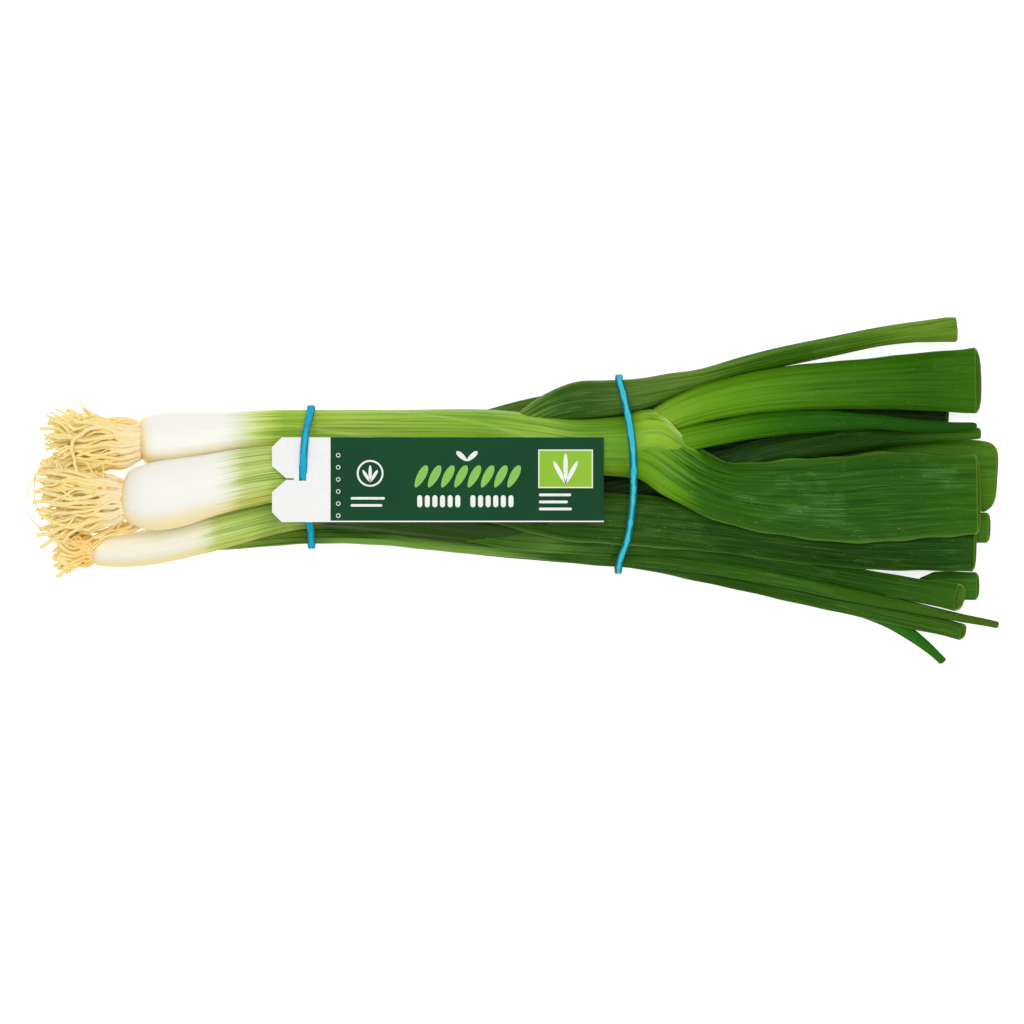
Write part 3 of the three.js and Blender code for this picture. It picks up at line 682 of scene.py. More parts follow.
@dataclass(frozen=True)
class RootFinish:
    """Straw coloured roots, paler where they leave the bulb, with a golden painted shade low in the tuft.

    Attributes:
        name: the material's name.
        near: colour at the basal plate.
        far: colour halfway along.
        tip: colour at the tips.
        patch: colour of the patches on them.
        ring: colour of the fine pale rings.
        shade_tint: the tint of the shade painted on the roots low in the tuft.
        shade_range: the heights where that painted shade begins and is full, in millimetres.
    """

    name: str = "roots_straw"
    near: Colour = (255, 236, 190)
    far: Colour = (255, 232, 158)
    tip: Colour = (255, 236, 166)
    patch: Colour = (252, 214, 116)
    ring: Colour = (255, 248, 226)
    shade_tint: Colour = (250, 224, 152)
    shade_range: Span = (11.5, 6.0)

    def material(self) -> bpy.types.Material:
        """Builds the material.

        Returns:
            The material.
        """
        bench = Bench(self.name)
        where = bench.where()
        patch = bench.noise(where, 260.0, 3.0)
        ring = bench.noise(where, 1400.0)
        reach = bench.mark("reach")
        colour = bench.blend(bench.spread(reach, 0.05, 0.55), linear(self.near), linear(self.far))
        colour = bench.blend(bench.spread(reach, 0.6, 1.05), colour, linear(self.tip))
        colour = bench.blend(bench.spread(patch, 0.5, 0.75, (0, 0.6)), colour, linear(self.patch))
        colour = bench.blend(bench.spread(ring, 0.5, 0.8, (0, 0.35)), colour, linear(self.ring))
        # Painted shade: roots low in the tuft, near the plate, get a golden tint for the shade between
        # them.
        low = bench.spread(bench.millimetres("Z"), *self.shade_range, (0, 0.8))
        low = bench.math("MULTIPLY", low, bench.spread(reach, 0.8, 0.45))
        bench.paint(bench.tinted(low, colour, self.shade_tint))
        bench.surface(0.6, 0.15)
        bench.bump(ring, 0.4, 0.15)
        return bench.material


@dataclass(frozen=True)
class BandFinish:
    """Elastic band: clear blue or blue-green, painted shade at its edges, a painted highlight, fine cross
    marks.

    Attributes:
        name: the material's name.
        colour: its main colour.
        edge: the darker colour of the shade painted along its edges, also that of its fine cross marks.
        light: the lighter colour of the highlight painted along its middle.
    """

    name: str
    colour: Colour
    edge: Colour
    light: Colour

    def material(self) -> bpy.types.Material:
        """Builds the material.

        Returns:
            The material.
        """
        bench = Bench(self.name)
        where = bench.where()
        wave = bench.noise(where, 240.0)
        grit = bench.noise(where, 1800.0)
        rim = bench.math("ABSOLUTE", bench.mark("across"))
        wander = bench.math("ADD", rim, bench.spread(wave, 0.3, 0.7, (-0.22, 0.22)))
        # Painted shade: the colour darkens towards both edges, where the round band turns away from the
        # light.
        colour = bench.blend(bench.spread(wander, 0.4, 0.8), linear(self.colour), linear(self.edge))
        # Painted highlight: a lighter line that wavers along the band's middle.
        painted_highlight = bench.math("MULTIPLY", bench.spread(wander, 0.45, 0.0), bench.spread(wave, 0.42, 0.62))
        colour = bench.blend(bench.math("MULTIPLY", painted_highlight, 0.55), colour, linear(self.light))
        colour = bench.blend(bench.spread(grit, 0.55, 0.8, (0, 0.12)), colour, linear(self.edge))
        bench.paint(colour)
        bench.surface(0.5, 0.15)
        bench.bump(bench.math("ADD", wave, bench.math("MULTIPLY", grit, 0.3)), 0.5, 0.3)
        return bench.material


@dataclass(frozen=True)
class CardFinish:
    """The tag's card: white at its hooked end, a dark green field with a panel, and white cut edges.

    Attributes:
        name: the material's name.
        white_until: the X at which the green field begins.
        panel: left, right, low and high side of the light panel.
        border: how wide the panel's border is.
        top: the height above which there is ink.
        low_edge: the Y at which the green field begins.
        white: the bare card's colour.
        card_fibre: the colour of its fibres.
        field_colour: the dark green field's colour.
        field_cloud: what that changes to in soft patches.
        field_fibre: what it changes to along the fibres.
        panel_colour: the light panel's colour.
        border_colour: its border's colour.
    """

    name: str
    white_until: float
    panel: Box
    border: float
    top: float
    low_edge: float
    white: Colour = (246, 246, 245)
    card_fibre: Colour = (236, 236, 232)
    field_colour: Colour = (17, 68, 38)
    field_cloud: Colour = (22, 76, 44)
    field_fibre: Colour = (56, 106, 74)
    panel_colour: Colour = (147, 196, 58)
    border_colour: Colour = (232, 240, 214)

    def material(self) -> bpy.types.Material:
        """Builds the material.

        Returns:
            The material.
        """
        bench = Bench(self.name)
        x, y, z = (bench.millimetres(axis) for axis in "XYZ")
        fibre = bench.noise(bench.where(), 900.0, 3.0)
        cloud = bench.noise(bench.where(), 60.0)
        field = linear(self.field_colour)
        ink = bench.blend(bench.spread(cloud, 0.3, 0.7), field, linear(self.field_cloud))
        ink = bench.blend(bench.spread(fibre, 0.5, 0.8, (0, 0.08)), ink, linear(self.field_fibre))
        ink = bench.blend(self._box(bench, x, y, 0.0), ink, linear(self.border_colour))
        ink = bench.blend(self._box(bench, x, y, self.border), ink, linear(self.panel_colour))
        printed = bench.math("GREATER_THAN", x, self.white_until)
        printed = bench.math("MULTIPLY", printed, bench.math("GREATER_THAN", z, self.top))
        printed = bench.math("MULTIPLY", printed, bench.math("GREATER_THAN", y, self.low_edge))
        rough = bench.spread(fibre, 0.4, 0.7, (0, 0.3))
        card = bench.blend(rough, linear(self.white), linear(self.card_fibre))
        bench.paint(bench.blend(printed, card, ink))
        bench.surface(bench.spread(cloud, 0.3, 0.7, (0.42, 0.5)), 0.06)
        bench.bump(fibre, 0.12, 0.1)
        return bench.material

    def _box(self, bench: Bench, x: Input, y: Input, inset: float) -> Socket:
        """1 within the panel, drawn in all round by inset.

        Args:
            bench: the material's bench.
            x: X of each point, in millimetres.
            y: Y of each point.
            inset: how far it is drawn in.

        Returns:
            1 inside and 0 outside.
        """
        left, right, low, high = self.panel
        wide = bench.math("COMPARE", x, (left + right) / 2, (right - left) / 2 - inset)
        tall = bench.math("COMPARE", y, (low + high) / 2, (high - low) / 2 - inset)
        return bench.math("MULTIPLY", wide, tall)


@dataclass(frozen=True)
class InkFinish:
    """Printing ink that lies on the card, a little worn so that the green field shows through.

    Attributes:
        name: the material's name.
        colour: the ink's colour.
        field_colour: the green that shows where it is worn.
    """

    name: str
    colour: Colour
    field_colour: Colour = (60, 110, 74)

    def material(self) -> bpy.types.Material:
        """Builds the material.

        Returns:
            The material.
        """
        bench = Bench(self.name)
        worn = bench.noise(bench.where(), 1200.0)
        thin = bench.blend(0.18, linear(self.colour), linear(self.field_colour))
        colour = bench.blend(bench.spread(worn, 0.5, 0.8), linear(self.colour), thin)
        bench.paint(colour)
        bench.surface(0.45, 0.06)
        return bench.material


# Pieces


def add_piece(
    name: str,
    mesh: bpy.types.Mesh,
    material: bpy.types.Material,
    node: Optional[str],
) -> bpy.types.Object:
    """Puts a finished mesh into the scene and ties it to the part.

    Args:
        name: the piece's name.
        mesh: its mesh, in the part's own coordinates.
        material: its finish.
        node: the solid it stands for, or None where it only adds to one.

    Returns:
        The new object.
    """
    mesh.materials.clear()
    mesh.materials.append(material)
    piece = bpy.data.objects.new(name, mesh)
    bpy.context.scene.collection.objects.link(piece)
    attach(piece, BODY)
    if node:
        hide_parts(node)
    log.info("%s: %d faces", name, len(mesh.polygons))
    return piece


@dataclass(frozen=True)
class Leaf:
    """A leaf: a tube, flattened more or less, that is cut square at its far end.

    Attributes:
        name: the solid's name.
        stations: its route.
        finish: its finish.
        slant: how much further the lower wall reaches at the cut end.
        frill: how much its two edges waver.
        flutes: how deep the shallow flutes along it are.
        crease: where round it a shallow crease runs, in degrees, or None.
        crease_depth: how deep it is.
        rounding: how far the corners of the cut end are drawn back.
        wall: how thick the leaf's wall is at the cut end.
        lip: how broad the pale cut edge is.
        bore: how deep the hollow of the leaf is drawn.
        sides: how many points go round it.
        step: how far its rings lie apart, at most.
    """

    name: str
    stations: tuple[Station, ...]
    finish: LeafFinish
    slant: float = 0.0
    frill: float = 0.12
    flutes: float = 0.07
    crease: Optional[float] = None
    crease_depth: float = 0.5
    rounding: float = 0.9
    wall: float = 0.7
    lip: float = 0.4
    bore: float = 12.0
    sides: int = 72
    step: float = 1.5

    def relief(self, run: np.ndarray, angle: np.ndarray) -> np.ndarray:
        """How far the skin stands off the plain tube: flutes, wavering edges and the crease.

        Args:
            run: how far along the leaf each point lies.
            angle: how far round each lies, in radians.

        Returns:
            The heights, in millimetres.
        """
        seed = sum(map(ord, self.name))
        wave = np.sin(run / 3.1 + seed) * np.sin(run / 7.9 + 2 * seed) + 0.5 * np.sin(run / 13.0 + seed)
        edge = np.abs(np.cos(angle)) ** 12
        lift = self.flutes * np.cos(17 * angle + 0.6 * np.sin(run / 40 + seed)) * (1 - edge)
        lift = lift + self.frill * wave * edge * np.where(np.cos(angle) > 0, 1, -0.8)
        lift = lift + 0.16 * np.sin(run / 21 + seed) * np.cos(2 * angle + seed)
        if self.crease is not None:
            off = past(angle, math.radians(self.crease))
            lift = lift - self.crease_depth * np.exp(-((off / 0.16) ** 2)) * smooth(run, 4, 20)
        return lift

    def skin(self) -> Skin:
        """The leaf's surface, outside to the cut end and back down the bore.

        Returns:
            The skin.
        """
        route = Route(self.stations)
        stops = route.stops(self.step)
        whole = float(route.run(np.array(1.0)))
        near = 1 - self.lip / whole
        outer = np.concatenate([stops[:-1][stops[:-1] < near - 0.002], [near, 1.0]])
        thin = min(self.wall, 0.55 * self.stations[-1][4])
        back = np.concatenate([[1.0, near], 1 - self.bore / whole * np.array([0.25, 0.6, 1.0])])
        t = np.concatenate([outer, back])
        inner = np.concatenate([np.zeros(len(outer)), np.ones(len(back))])
        grid_t, grid_a = np.meshgrid(t, turns(self.sides), indexing="ij")
        run = route.run(grid_t)
        lift = self.relief(run, grid_a) - thin * inner[:, None]
        points = route.surface(grid_t, grid_a, lift)
        points = self._cut(points, run, grid_a, whole)
        points[..., 2] = np.maximum(points[..., 2], self.lip * inner[:, None])
        cut = np.zeros(len(t))
        cut[len(outer) - 1] = cut[len(outer)] = 1
        inside = inner * (1 - cut)
        marks = {
            "cut": cut[:, None] + 0 * run,
            "inside": inside[:, None] + 0 * run,
            # The two edges of the outer skin carry a painted highlight.
            "edge_highlight": np.abs(np.cos(grid_a)) ** 26 * (1 - inner[:, None]),
        }
        return Skin(points, grain_at(grid_a, run), marks=marks)

    def _cut(
        self,
        points: np.ndarray,
        run: np.ndarray,
        angle: np.ndarray,
        whole: float,
    ) -> np.ndarray:
        """Draws the upper points back near the far end, for a slanted cut, and rounds its corners.

        Args:
            points: the points. They are changed.
            run: how far along the leaf each lies.
            angle: how far round each lies, in radians.
            whole: the leaf's length.

        Returns:
            The same points.
        """
        low = points[..., 2].min(1, keepdims=True)
        high = points[..., 2].max(1, keepdims=True)
        share = np.clip((run - whole + 11) / 11, 0, 1)
        points[..., 0] -= self.slant * share * (points[..., 2] - low) / (high - low)
        points[..., 0] -= self.rounding * share**2 * np.abs(np.cos(angle)) ** 7
        return points

    def build(self) -> bpy.types.Object:
        """Builds the leaf and dresses it."""
        mesh = self.skin().mesh(self.name)
        return add_piece(self.name, mesh, self.finish.material(), self.name)


@dataclass(frozen=True)
class SheathMouth:
    """The flared mouth of a sheath, open on a slant, which its leaves come out of.

    Attributes:
        name: the piece's name.
        stations: its route.
        rim_start: one end (x, y) of its slanted rim, seen from above.
        rim_end: the other end.
        finish: its finish.
        wall: how thick the sheath is.
        rim_fade: the stretch of X over which the pale line along the rim ends.
        rows: how many rings its outer skin has.
        sides: how many points go round it.
    """

    name: str
    stations: tuple[Station, ...]
    rim_start: Span
    rim_end: Span
    finish: ShankFinish
    wall: float = 0.55
    rim_fade: Span = (50.5, 54.5)
    rows: int = 44
    sides: int = 96

    def beyond(self, points: np.ndarray) -> np.ndarray:
        """How far points lie beyond the slanted rim.

        Args:
            points: the points.

        Returns:
            The distances, below 0 before the rim.
        """
        (x0, y0), (x1, y1) = self.rim_start, self.rim_end
        length = math.hypot(x1 - x0, y1 - y0)
        return ((points[..., 0] - x0) * (y0 - y1) + (points[..., 1] - y0) * (x1 - x0)) / length

    def reach(self, route: Route, angle: np.ndarray) -> np.ndarray:
        """The part of the route at which each angle meets the rim.

        Args:
            route: the mouth's route.
            angle: the angles, in radians.

        Returns:
            The parts, 0 to 1.
        """
        low, high = np.zeros_like(angle), np.ones_like(angle)
        for _ in range(24):
            middle = (low + high) / 2
            over = self.beyond(route.surface(middle, angle, np.zeros_like(angle))) > 0
            high = np.where(over, middle, high)
            low = np.where(over, low, middle)
        return low

    def skin(self) -> Skin:
        """The mouth's outer skin up to the rim and its inner skin back down.

        Returns:
            The skin.
        """
        route = Route(self.stations)
        angle = turns(self.sides)
        reach = self.reach(route, angle)
        down = np.linspace(0, 1, self.rows) ** 0.8
        back = np.array([1.0, 0.99, 0.93, 0.84, 0.72])
        part = np.concatenate([down, back])
        inner = np.concatenate([np.zeros(self.rows), np.ones(len(back))])
        t = part[:, None] * reach[None, :]
        grid_a = np.broadcast_to(angle, t.shape)
        run = route.run(t)
        ripple = 0.1 * np.cos(15 * grid_a + run / 12)
        ripple = ripple + 0.08 * np.sin(run / 2.7) * np.abs(np.cos(grid_a))
        points = route.surface(t, grid_a, ripple - self.wall * inner[:, None])
        near = smooth(self.beyond(points), -2.0, -0.1) * (reach < 0.999)
        near = near * (1 - smooth(points[..., 0], *self.rim_fade))
        marks = {"lap": 0.75 * near * (1 - 0.5 * inner[:, None]), "heel": 0 * run}
        return Skin(points, grain_at(grid_a, run), marks=marks)

    def build(self) -> bpy.types.Object:
        """Builds the mouth and dresses it."""
        mesh = self.skin().mesh(self.name)
        return add_piece(self.name, mesh, self.finish.material(), None)


@dataclass(frozen=True)
class Shank:
    """A white bulb and the green stem of wrapped sheaths above it.

    Attributes:
        name: the solid's name.
        stations: its route from the basal plate to where its leaves part.
        finish: its finish.
        laps: the edges of its sheaths, each from (x, degrees round) to (x, degrees round).
        lap_height: how far such an edge stands off.
        lap_tint: how pale it is, 0 to 1.
        heel_tint: how creamy the bulb is where the roots start, 0 to 1.
        sides: how many points go round it.
        step: how far its rings lie apart, at most.
    """

    name: str
    stations: tuple[Station, ...]
    finish: ShankFinish
    laps: tuple[Box, ...] = ()
    lap_height: float = 0.22
    lap_tint: float = 0.3
    heel_tint: float = 0.75
    sides: int = 96
    step: float = 1.2

    def skin(self) -> Skin:
        """The surface from the basal plate to the upper end.

        Returns:
            The skin.
        """
        route = Route(self.stations)
        t = route.stops(self.step)
        grid_t, grid_a = np.meshgrid(t, turns(self.sides), indexing="ij")
        run = route.run(grid_t)
        x = route.at(grid_t)[0][..., 0]
        ribs = 0.06 * np.cos(13 * grid_a + 0.5 * np.sin(run / 30))
        swell = 0.12 * np.sin(run / 17) * np.cos(2 * grid_a)
        lift = (ribs + swell) * smooth(run, 3, 14)
        lap = np.zeros_like(run)
        for x0, turn0, x1, turn1 in self.laps:
            share = np.clip((x - x0) / (x1 - x0), 0, 1)
            edge = np.radians(turn0 + (turn1 - turn0) * share)
            off = past(grid_a, edge)
            here = smooth(x, x0 - 6, x0 + 6) * (1 - smooth(x, x1 - 3, x1 + 3))
            ridge = smooth(off, -0.02, 0.06) * (1 - smooth(off, 0.1, 1.6))
            lift = lift + self.lap_height * here * ridge
            lap = np.maximum(lap, here * np.exp(-(((off - 0.05) / 0.07) ** 2)))
        points = route.surface(grid_t, grid_a, lift)
        points[..., 2] = np.maximum(points[..., 2], 0.0)
        heel = (1 - smooth(run, 0.3, 3.4)) * self.heel_tint
        marks = {"heel": heel, "lap": self.lap_tint * lap}
        return Skin(points, grain_at(grid_a, run), marks=marks)

    def build(self) -> bpy.types.Object:
        """Builds the shank and dresses it."""
        mesh = self.skin().mesh(self.name)
        return add_piece(self.name, mesh, self.finish.material(), self.name)


class Sprinkle:
    """Seeded random numbers from 0 to 1, the same as those that place the part's own roots."""

    def __init__(self, seed: int) -> None:
        """Starts the run of numbers."""
        self.state = seed

    @staticmethod
    def _times(a: int, b: int) -> int:
        """Product of two whole numbers, kept to 32 bits."""
        return (a * b) & 0xFFFFFFFF

    def __call__(self) -> float:
        """The next number.

        Returns:
            A number from 0 to 1.
        """
        self.state = (self.state + 0x6D2B79F5) & 0xFFFFFFFF
        mixed = self._times(self.state ^ (self.state >> 15), 1 | self.state)
        mixed = ((mixed + self._times(mixed ^ (mixed >> 7), 61 | mixed)) & 0xFFFFFFFF) ^ mixed
        return (mixed ^ (mixed >> 14)) / 4294967296


class Grower:
    """A Geometry Nodes tree that turns lines into a mesh, with inputs that are set by name."""

    FINISH = "Finish"

    def __init__(self, name: str, inputs: dict[str, tuple[str, Union[int, float]]]) -> None:
        """Starts the tree.

        Args:
            name: its name.
            inputs: the kind and first value of each of its own inputs, by name.
        """
        self.tree = bpy.data.node_groups.new(name, "GeometryNodeTree")
        self._socket("Geometry", "Geometry")
        for label, (kind, value) in inputs.items():
            self._socket(label, kind).default_value = value
        self._socket(self.FINISH, "Material")
        self._socket("Geometry", "Geometry", "OUTPUT")
        self.given = self.tree.nodes.new("NodeGroupInput").outputs

    def _socket(self, label: str, kind: str, side: str = "INPUT") -> bpy.types.NodeTreeInterfaceSocket:
        """Gives the tree an input or an output."""
        return self.tree.interface.new_socket(label, in_out=side, socket_type="NodeSocket" + kind)

    def add(
        self,
        kind: str,
        inputs: dict[Union[str, int], object],
        **options: object,
    ) -> bpy.types.Node:
        """Adds a node.

        Args:
            kind: its type.
            inputs: a socket to join or a value to set, by the input's name or number.
            options: its properties.

        Returns:
            The node.
        """
        node = self.tree.nodes.new(kind)
        for option, value in options.items():
            setattr(node, option, value)
        for key, value in inputs.items():
            if isinstance(value, Socket):
                self.tree.links.new(value, node.inputs[key])
            else:
                node.inputs[key].default_value = value
        return node

    def note(self, label: str, line: Socket, value: Socket) -> Socket:
        """Keeps a number at each point of a line, for the finish to read.

        Args:
            label: the name under which it is kept.
            line: the line.
            value: the number.

        Returns:
            The line with its numbers.
        """
        inputs = {"Geometry": line, "Name": label, "Value": value}
        kept = self.add("GeometryNodeStoreNamedAttribute", inputs, data_type="FLOAT", domain="POINT")
        return kept.outputs["Geometry"]

    def end(self, mesh: Socket) -> None:
        """Ends the tree: smooth shading, real instances and the material.

        Args:
            mesh: the mesh that the tree gives.
        """
        shade = self.add("GeometryNodeSetShadeSmooth", {0: mesh})
        real = self.add("GeometryNodeRealizeInstances", {"Geometry": shade.outputs[0]})
        inputs = {"Geometry": real.outputs[0], "Material": self.given[self.FINISH]}
        paint = self.add("GeometryNodeSetMaterial", inputs)
        self.add("NodeGroupOutput", {"Geometry": paint.outputs[0]})

    def grow(self, name: str, lines: bpy.types.Object, values: dict[str, object]) -> bpy.types.Mesh:
        """Runs the tree on an object and keeps the outcome as a plain mesh.

        Args:
            name: the mesh's name.
            lines: the object that carries the lines. It is deleted afterwards.
            values: the tree's inputs by name.

        Returns:
            The mesh, pressed back into the part's box.
        """
        modifier = lines.modifiers.new(name, "NODES")
        modifier.node_group = self.tree
        for item in self.tree.interface.items_tree:
            if item.in_out == "INPUT" and item.name in values:
                modifier[item.identifier] = values[item.name]
        graph = bpy.context.evaluated_depsgraph_get()
        graph.update()
        mesh = bpy.data.meshes.new_from_object(lines.evaluated_get(graph))
        mesh.name = name
        lines.modifiers.remove(modifier)
        bpy.data.objects.remove(lines)
        points = np.empty(len(mesh.vertices) * 3, np.float32)
        mesh.vertices.foreach_get("co", points)
        held = inside_frame(points.reshape(-1, 3) / MM) * MM
        mesh.vertices.foreach_set("co", held.astype(np.float32).ravel())
        mesh.update()
        return mesh


class RootTree(Grower):
    """Turns root lines into round, slightly curling strands."""

    SIDES = "Sides"
    CURL = "Curl"
    SEED = "Seed"
    POINTS = 22
    CURL_SCALE = 120.0

    def __init__(self) -> None:
        """Builds the tree: even points, a curl that grows with reach, round strands."""
        inputs = {self.SIDES: ("Int", 7), self.CURL: ("Float", 0.3 * MM), self.SEED: ("Float", 3.0)}
        super().__init__("root_strands", inputs)
        given = self.given
        even = self.add("GeometryNodeResampleCurve", {"Curve": given["Geometry"], "Count": self.POINTS})
        share = self.add("GeometryNodeSplineParameter", {}).outputs["Factor"]
        line = self.note("reach", even.outputs["Curve"], share)
        where = self.add("GeometryNodeInputPosition", {}).outputs[0]
        inputs = {"Vector": where, "W": given[self.SEED], "Scale": self.CURL_SCALE}
        noise = self.add("ShaderNodeTexNoise", inputs, noise_dimensions="4D")
        inputs = {0: noise.outputs["Color"], 1: (0.5, 0.5, 0.5)}
        centred = self.add("ShaderNodeVectorMath", inputs, operation="SUBTRACT")
        amount = self.add("ShaderNodeMath", {0: share, 1: given[self.CURL]}, operation="MULTIPLY")
        inputs = {0: centred.outputs[0], "Scale": amount.outputs[0]}
        grown = self.add("ShaderNodeVectorMath", inputs, operation="SCALE")
        curl = self.add("GeometryNodeSetPosition", {"Geometry": line, "Offset": grown.outputs[0]})
        inputs = {"Resolution": given[self.SIDES], "Radius": 1.0}
        profile = self.add("GeometryNodeCurvePrimitiveCircle", inputs)
        radius = self.add("GeometryNodeInputRadius", {})
        inputs = {"Curve": curl.outputs[0], "Profile Curve": profile.outputs["Curve"]}
        inputs |= {"Scale": radius.outputs[0], "Fill Caps": True}
        strand = self.add("GeometryNodeCurveToMesh", inputs)
        self.end(strand.outputs["Mesh"])


class BandTree(Grower):
    """Lays a strip with round corners round a closed line, its width along X."""

    WIDTH = "Width"
    THICKNESS = "Thickness"
    CORNER = 0.42

    def __init__(self) -> None:
        """Builds the tree: an upright line, and a profile with round corners swept along it."""
        super().__init__("band_strip", {self.WIDTH: ("Float", 2.2 * MM), self.THICKNESS: ("Float", MM)})
        given = self.given
        inputs = {"Curve": given["Geometry"], "Normal": (1.0, 0.0, 0.0)}
        line = self.add("GeometryNodeSetCurveNormal", inputs, mode="FREE")
        inputs = {"Width": given[self.WIDTH], "Height": given[self.THICKNESS]}
        profile = self.add("GeometryNodeCurvePrimitiveQuadrilateral", inputs)
        even = self.add("GeometryNodeSubdivideCurve", {"Curve": profile.outputs["Curve"], "Cuts": 3})
        inputs = {"Curve": even.outputs["Curve"], "Radius": self.CORNER * MM, "Count": 4}
        corner = self.add("GeometryNodeFilletCurve", inputs, mode="POLY")
        where = self.add("GeometryNodeInputPosition", {}).outputs[0]
        split = self.add("ShaderNodeSeparateXYZ", {0: where})
        half = self.add("ShaderNodeMath", {0: given[self.WIDTH], 1: 2.0}, operation="DIVIDE")
        inputs = {0: split.outputs["X"], 1: half.outputs[0]}
        part = self.add("ShaderNodeMath", inputs, operation="DIVIDE")
        profile = self.note("across", corner.outputs["Curve"], part.outputs[0])
        inputs = {"Curve": line.outputs["Curve"], "Profile Curve": profile}
        self.end(self.add("GeometryNodeCurveToMesh", inputs).outputs["Mesh"])


def line_object(name: str, lines: Sequence[Strand], closed: bool = False) -> bpy.types.Object:
    """An object of lines, each given as its points and the radius at each, in millimetres.

    Args:
        name: the object's name.
        lines: the lines.
        closed: whether each runs back to its start.

    Returns:
        The object, in the scene.
    """
    curve = bpy.data.curves.new(name, "CURVE")
    curve.dimensions = "3D"
    for points, radii in lines:
        spline = curve.splines.new("POLY")
        spline.points.add(len(points) - 1)
        rows = np.hstack([points * MM, np.ones((len(points), 1))])
        spline.points.foreach_set("co", rows.astype(np.float32).ravel())
        spline.points.foreach_set("radius", (np.asarray(radii) * MM).astype(np.float32))
        spline.use_cyclic_u = closed
    thing = bpy.data.objects.new(name, curve)
    bpy.context.scene.collection.objects.link(thing)
    return thing


@dataclass(frozen=True)
class RootTuft:
    """A tuft of roots on its basal plate.

    Attributes:
        name: the solid's name.
        plate: the middle of the basal plate.
        plate_radius: its radius.
        reach: how far the longest roots reach.
        fan: how far the tuft leans to +Y for each unit of reach.
        spread: how far it opens across and in height.
        droop: how far it sinks.
        count: how many thick roots there are.
        seed: the start of their random numbers.
        strays: roots with a route of their own, each as its radius and its points.
        more: how many further thick roots fill the tuft.
        fine: how many thin roots grow between the thick ones.
        radius: a thick root's radius at the plate.
        tip: its radius at the tip.
        hook: how far the tips of the further roots may bend aside.
        stray: how freely a root leans its own way.
        wander: how far it snakes to both sides.
        lowest: how near the surface a root's middle may come.
        fill: the part of the plate that the roots grow from.
        sides: how many points go round a root.
        curl: how far the tips curl.
    """

    name: str
    plate: Point
    plate_radius: float
    reach: float
    fan: float
    spread: Span
    droop: float
    count: int
    seed: int
    strays: tuple[tuple[float, tuple[Point, ...]], ...]
    more: int = 44
    fine: int = 26
    radius: float = 0.76
    tip: float = 0.58
    hook: float = 9.0
    stray: float = 0.12
    wander: float = 1.8
    lowest: float = 1.0
    fill: float = 0.86
    sides: int = 8
    curl: float = 6.5

    def line(self, random: Sprinkle, share: float, swing: float, bend: float = 0.0) -> np.ndarray:
        """The route of one root: it leaves the plate, fans out, wanders a little and droops.

        Args:
            random: where its chances come from.
            share: its length, as a part of the usual.
            swing: how freely it strays, as a part of the usual.
            bend: how far its tip is bent to +Y.

        Returns:
            Its points.
        """
        turn = random() * 2 * math.pi
        out = math.sqrt(random())
        oy, oz = math.cos(turn) * out, math.sin(turn) * out
        length = self.reach * (0.74 + 0.26 * random()) * share
        lean = self.fan + self.spread[0] * oy + self.stray * swing * (random() - 0.5)
        lift = self.spread[1] * oz + self.stray * swing * (random() - 0.5)
        wander = self.wander * swing * (random() - 0.5)
        t = np.linspace(0, 1, 16)
        x = self.plate[0] + 1 - length * t
        start_y = self.plate[1] + oy * self.plate_radius * self.fill
        start_z = self.plate[2] + oz * self.plate_radius * self.fill
        y = start_y + lean * length * t + wander * np.sin(8 * t) + bend * t**4
        z = start_z + lift * length * t - self.droop * t * t
        return np.stack([x, y, np.maximum(z, self.lowest)], -1)

    def lines(self) -> list[Strand]:
        """Every root's points and radii: the thick ones, the strays and the thin ones between.

        Returns:
            The strands.
        """
        random = Sprinkle(self.seed)
        found = []
        for _ in range(self.count):
            points = self.line(random, 1.0, 1.0)
            found.append((points, np.linspace(self.radius, self.tip, len(points))))
        for radius, stops in self.strays:
            route = Route([(*p, 0, 0, 0) for p in stops])
            points = route.at(np.linspace(0, 1, 20))[0][:, :3]
            found.append((points, np.linspace(radius, 0.45 * radius, len(points))))
        for _ in range(self.more):
            points = self.line(random, 0.7 + 0.32 * random(), 1.7, self.hook * (random() - 0.5))
            ends = 0.52 + 0.26 * random(), 0.34 + 0.22 * random()
            found.append((points, np.linspace(*ends, len(points))))
        for _ in range(self.fine):
            points = self.line(random, 0.7 + 0.34 * random(), 2.2, 1.4 * self.hook * (random() - 0.5))
            found.append((points, np.linspace(0.3, 0.12, len(points))))
        return found

    def build(self, tree: RootTree, material: bpy.types.Material) -> bpy.types.Object:
        """Grows the strands and dresses them.

        Args:
            tree: the tree that thickens the lines.
            material: the roots' finish.

        Returns:
            The piece.
        """
        lines = line_object(self.name + "_lines", self.lines())
        values = {tree.SIDES: self.sides, tree.CURL: self.curl * MM}
        values |= {tree.SEED: float(self.seed), tree.FINISH: material}
        mesh = tree.grow(self.name, lines, values)
        return add_piece(self.name, mesh, material, self.name)


